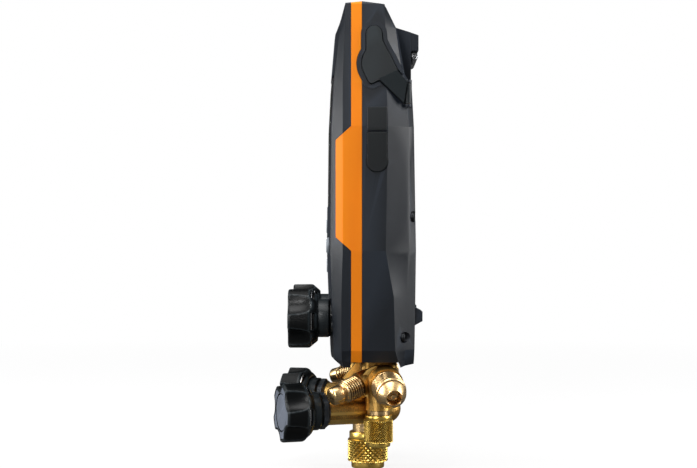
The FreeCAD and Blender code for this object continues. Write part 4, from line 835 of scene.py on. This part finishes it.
def digit(work, character, x, z, height):
    """Seven-segment digit with its lower left corner at a point."""
    half = height / 2
    wide = height * DIGIT_WIDTH
    bar = height * DIGIT_BAR
    spots = {
        "a": (x, z + height, True), "g": (x, z + half, True), "d": (x, z, True),
        "f": (x, z + half, False), "b": (x + wide, z + half, False),
        "e": (x, z, False), "c": (x + wide, z, False),
    }
    for name in SEGMENTS[character]:
        sx, sz, level = spots[name]
        run = wide if level else half
        near, far = bar * BAR_END, bar * BAR_SHOULDER
        outline = [(near, 0), (far, bar / 2), (run - far, bar / 2),
                   (run - near, 0), (run - far, -bar / 2), (far, -bar / 2)]
        if level:
            corners = [(sx + a, sz + b) for a, b in outline]
        else:
            corners = [(sx - b, sz + a) for a, b in outline]
        plate(work, corners, PRINT_DEPTH)


def number(work, text, x, z, height):
    """Number in seven-segment digits, with a square point where the text has one."""
    for character in text:
        if character == ".":
            dot, middle = height * POINT_HALF, x - height * POINT_BACK
            plate(work, oblong(middle - dot, z - dot, middle + dot, z + dot), PRINT_DEPTH)
        else:
            digit(work, character, x, z, height)
            x += height * DIGIT_STEP


def ray(work, centre, turn, low, high, half):
    """Bar that points away from a centre, between two radii."""
    radial = Vector((math.cos(turn), math.sin(turn)))
    side = Vector((-radial.y, radial.x)) * half
    corners = [radial * low + side, radial * high + side, radial * high - side, radial * low - side]
    plate(work, [(centre[0] + c.x, centre[1] + c.y) for c in corners], PRINT_DEPTH)


def dial(work, x, filled):
    """Arc of scale marks with a row of filled bars inside it."""
    centre = (x, DIAL_HEIGHT)
    for index in range(DIAL_MARKS):
        turn = math.radians(DIAL_START - DIAL_SWEEP * index / (DIAL_MARKS - 1))
        length, half = SHORT_MARK if index % DIAL_GROUP else LONG_MARK
        ray(work, centre, turn, DIAL_RADIUS - length, DIAL_RADIUS, half)
        if index < filled:
            ray(work, centre, turn, DIAL_RADIUS - BAR_INNER, DIAL_RADIUS - BAR_OUTER, BAR_HALF)


def display_marks():
    """Scale arcs, numbers and bars on the display."""
    work = bmesh.new()
    for x, filled, text in DIALS:
        dial(work, x, filled)
        number(work, text, x - DIAL_TEXT_LEFT, DIAL_TEXT_HEIGHT, DIAL_TEXT_SIZE)
    for x, text in READINGS:
        number(work, text, x, READING_HEIGHT, READING_SIZE)
    spans = [(x - DIVIDER_HALF, x + DIVIDER_HALF, DIVIDER_SPAN) for x in DIVIDERS]
    spans.append((DIVIDERS[0], DIVIDERS[-1], RULE_SPAN))
    for index in range(BATTERY_BARS):
        x = BATTERY_LEFT + index * BATTERY_STEP
        spans.append((x, x + BATTERY_WIDTH, BATTERY_SPAN))
    for left, right, (low, high) in spans:
        plate(work, oblong(left, low, right, high), PRINT_DEPTH)
    made_of("display_marks", work, "ink", "housing")


def key_mark(name, outlines, depth):
    """Mark on a key, from outlines about its middle and depths from its foremost point."""
    low, high = (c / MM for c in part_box(name))
    x, z = (low.x + high.x) / 2, (low.z + high.z) / 2
    work = bmesh.new()
    for outline in outlines:
        plate(work, [(x + a, z + b) for a, b in outline], [low.y + d for d in depth])
    made_of(name + "_mark", work, "mark", name)


def key_marks():
    """Arrows up and down, a ring in the middle and a bar at either side."""
    angles = [math.tau * index / RING_PARTS for index in range(RING_PARTS + 1)]
    ring = []
    for a0, a1 in zip(angles, angles[1:]):
        spots = ((RING_OUTER, a0), (RING_OUTER, a1), (RING_INNER, a1), (RING_INNER, a0))
        ring.append([(r * math.cos(a), r * math.sin(a)) for r, a in spots])
    key_mark("key_up", [ARROW], RAISED)
    key_mark("key_down", [[(-a, -b) for a, b in ARROW]], RAISED)
    key_mark("key_enter", ring, RAISED)
    key_mark("key_left", [oblong(*DASH)], SUNK)
    key_mark("key_right", [oblong(*DASH)], SUNK)


display_marks()
key_marks()


# Everything else, from the CAD

def dress_all():
    done = {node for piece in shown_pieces() for node in piece.get("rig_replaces", [])}
    for row in frame["record"]["subparts"]:
        node, slot = row["node"], row["material_slot"]
        if node not in done:
            dressed(node, MATERIAL[NODE_LOOK.get(node, SLOT_LOOK[slot])])


dress_all()


# Stage, light and camera

def paper():
    """White paper that shines for the camera and bounces little light on the part."""
    n = Nodes("sweep_paper", {"Roughness": 0.9})
    tree = n.tree
    path = add_node(tree, "LightPath")
    glow = add_node(tree, "Emission")
    blend = add_node(tree, "MixShader")
    away = add_node(tree, "VectorMath")
    away.operation = "LENGTH"
    far = add_node(tree, "MapRange",
                   {"From Min": 0.4, "From Max": 0.9, "To Min": 0.85, "To Max": 1.0})
    seen = add_node(tree, "Math")
    seen.operation = "MULTIPLY"
    white = n.ramp(n.noise(900.0), [(0.3, (0.80, 0.80, 0.80)), (0.7, (0.84, 0.84, 0.84))])
    tone = n.mix(path.outputs["Is Camera Ray"], (FLOOR_BOUNCE,) * 3, white)
    n.finish(tone, None, n.bump(n.noise(1500.0, detail=2.0), 0.00002, 0.4))
    n.link(n.coords.outputs["Object"], away.inputs[0])
    n.link(away.outputs["Value"], far.inputs["Value"])
    n.link(path.outputs["Is Camera Ray"], seen.inputs[0])
    n.link(far.outputs["Result"], seen.inputs[1])
    n.link(seen.outputs[0], blend.inputs["Fac"])
    n.link(n.shader.outputs["BSDF"], blend.inputs[1])
    n.link(glow.outputs["Emission"], blend.inputs[2])
    n.link(blend.outputs["Shader"], tree.nodes["Material Output"].inputs["Surface"])
    return n.material


def backdrop():
    """White sweep that rises behind the part."""
    work = bmesh.new()
    profile = [(SWEEP_FRONT, 0.0)]
    for step in range(SWEEP_STEPS + 1):
        turn = math.radians(90 * step / SWEEP_STEPS)
        profile.append((-SWEEP_REAR - SWEEP_CURVE * math.sin(turn),
                        SWEEP_CURVE - SWEEP_CURVE * math.cos(turn)))
    profile.append((-SWEEP_REAR - SWEEP_CURVE, SWEEP_TOP))
    rows = [[work.verts.new((x, y, z)) for y in (-SWEEP_HALF, SWEEP_HALF)] for x, z in profile]
    for low, high in zip(rows, rows[1:]):
        work.faces.new((low[0], low[1], high[1], high[0]))
    mesh = mesh_of("sweep", work)
    for face in mesh.polygons:
        face.use_smooth = True
    mesh.materials.append(paper())
    made = link("sweep", mesh)
    made.location.z = -SWEEP_DROP


def lamp(name, place, target, size, power):
    data = bpy.data.lights.new(name, "AREA")
    data.shape = "RECTANGLE"
    data.size, data.size_y = size
    data.energy = power
    made = link(name, data)
    made.location = place
    aim = Vector(target) - Vector(place)
    made.rotation_euler = aim.to_track_quat("-Z", "Y").to_euler()


def world():
    """White behind the part, in a studio that is dim on the camera's side and below."""
    made = bpy.data.worlds.new("studio")
    made.use_nodes = True
    tree = made.node_tree
    back = tree.nodes["Background"]
    back.inputs["Color"].default_value = (1, 1, 1, 1)
    path = add_node(tree, "LightPath")
    coords = add_node(tree, "TexCoord")
    axes = add_node(tree, "SeparateXYZ")
    side = add_node(tree, "MapRange",
                    {"From Min": 0.1, "From Max": 0.85, "To Min": 1.0, "To Max": 0.0})
    high = add_node(tree, "MapRange", {"From Min": -0.05, "From Max": 0.45})
    both = add_node(tree, "Math")
    both.operation = "MULTIPLY"
    level = add_node(tree, "MapRange", {"To Min": STUDIO_DIM, "To Max": STUDIO_BRIGHT})
    strength = add_node(tree, "Mix", {NUMBER_SECOND: 1.0})
    for start, end in (
        (coords.outputs["Generated"], axes.inputs["Vector"]),
        (axes.outputs["X"], side.inputs["Value"]),
        (axes.outputs["Z"], high.inputs["Value"]),
        (side.outputs["Result"], both.inputs[0]),
        (high.outputs["Result"], both.inputs[1]),
        (both.outputs[0], level.inputs["Value"]),
        (path.outputs["Is Camera Ray"], strength.inputs[MIX_FACTOR]),
        (level.outputs["Result"], strength.inputs[NUMBER_FIRST]),
        (strength.outputs[0], back.inputs["Strength"]),
    ):
        tree.links.new(start, end)
    bpy.context.scene.world = made


def camera():
    data = bpy.data.cameras.new("camera")
    data.sensor_width = CAMERA_SENSOR
    data.sensor_fit = "HORIZONTAL"
    data.lens = CAMERA_LENS
    data.clip_start = CAMERA_CLIP
    made = link("camera", data)
    made.location = CAMERA_PLACE
    made.rotation_euler = (math.radians(90), 0, math.radians(90))
    bpy.context.scene.camera = made


def studio():
    backdrop()
    for name, settings in LAMPS.items():
        lamp(name, *settings)
    world()
    camera()
    bpy.context.scene.view_settings.view_transform = "Standard"


studio()
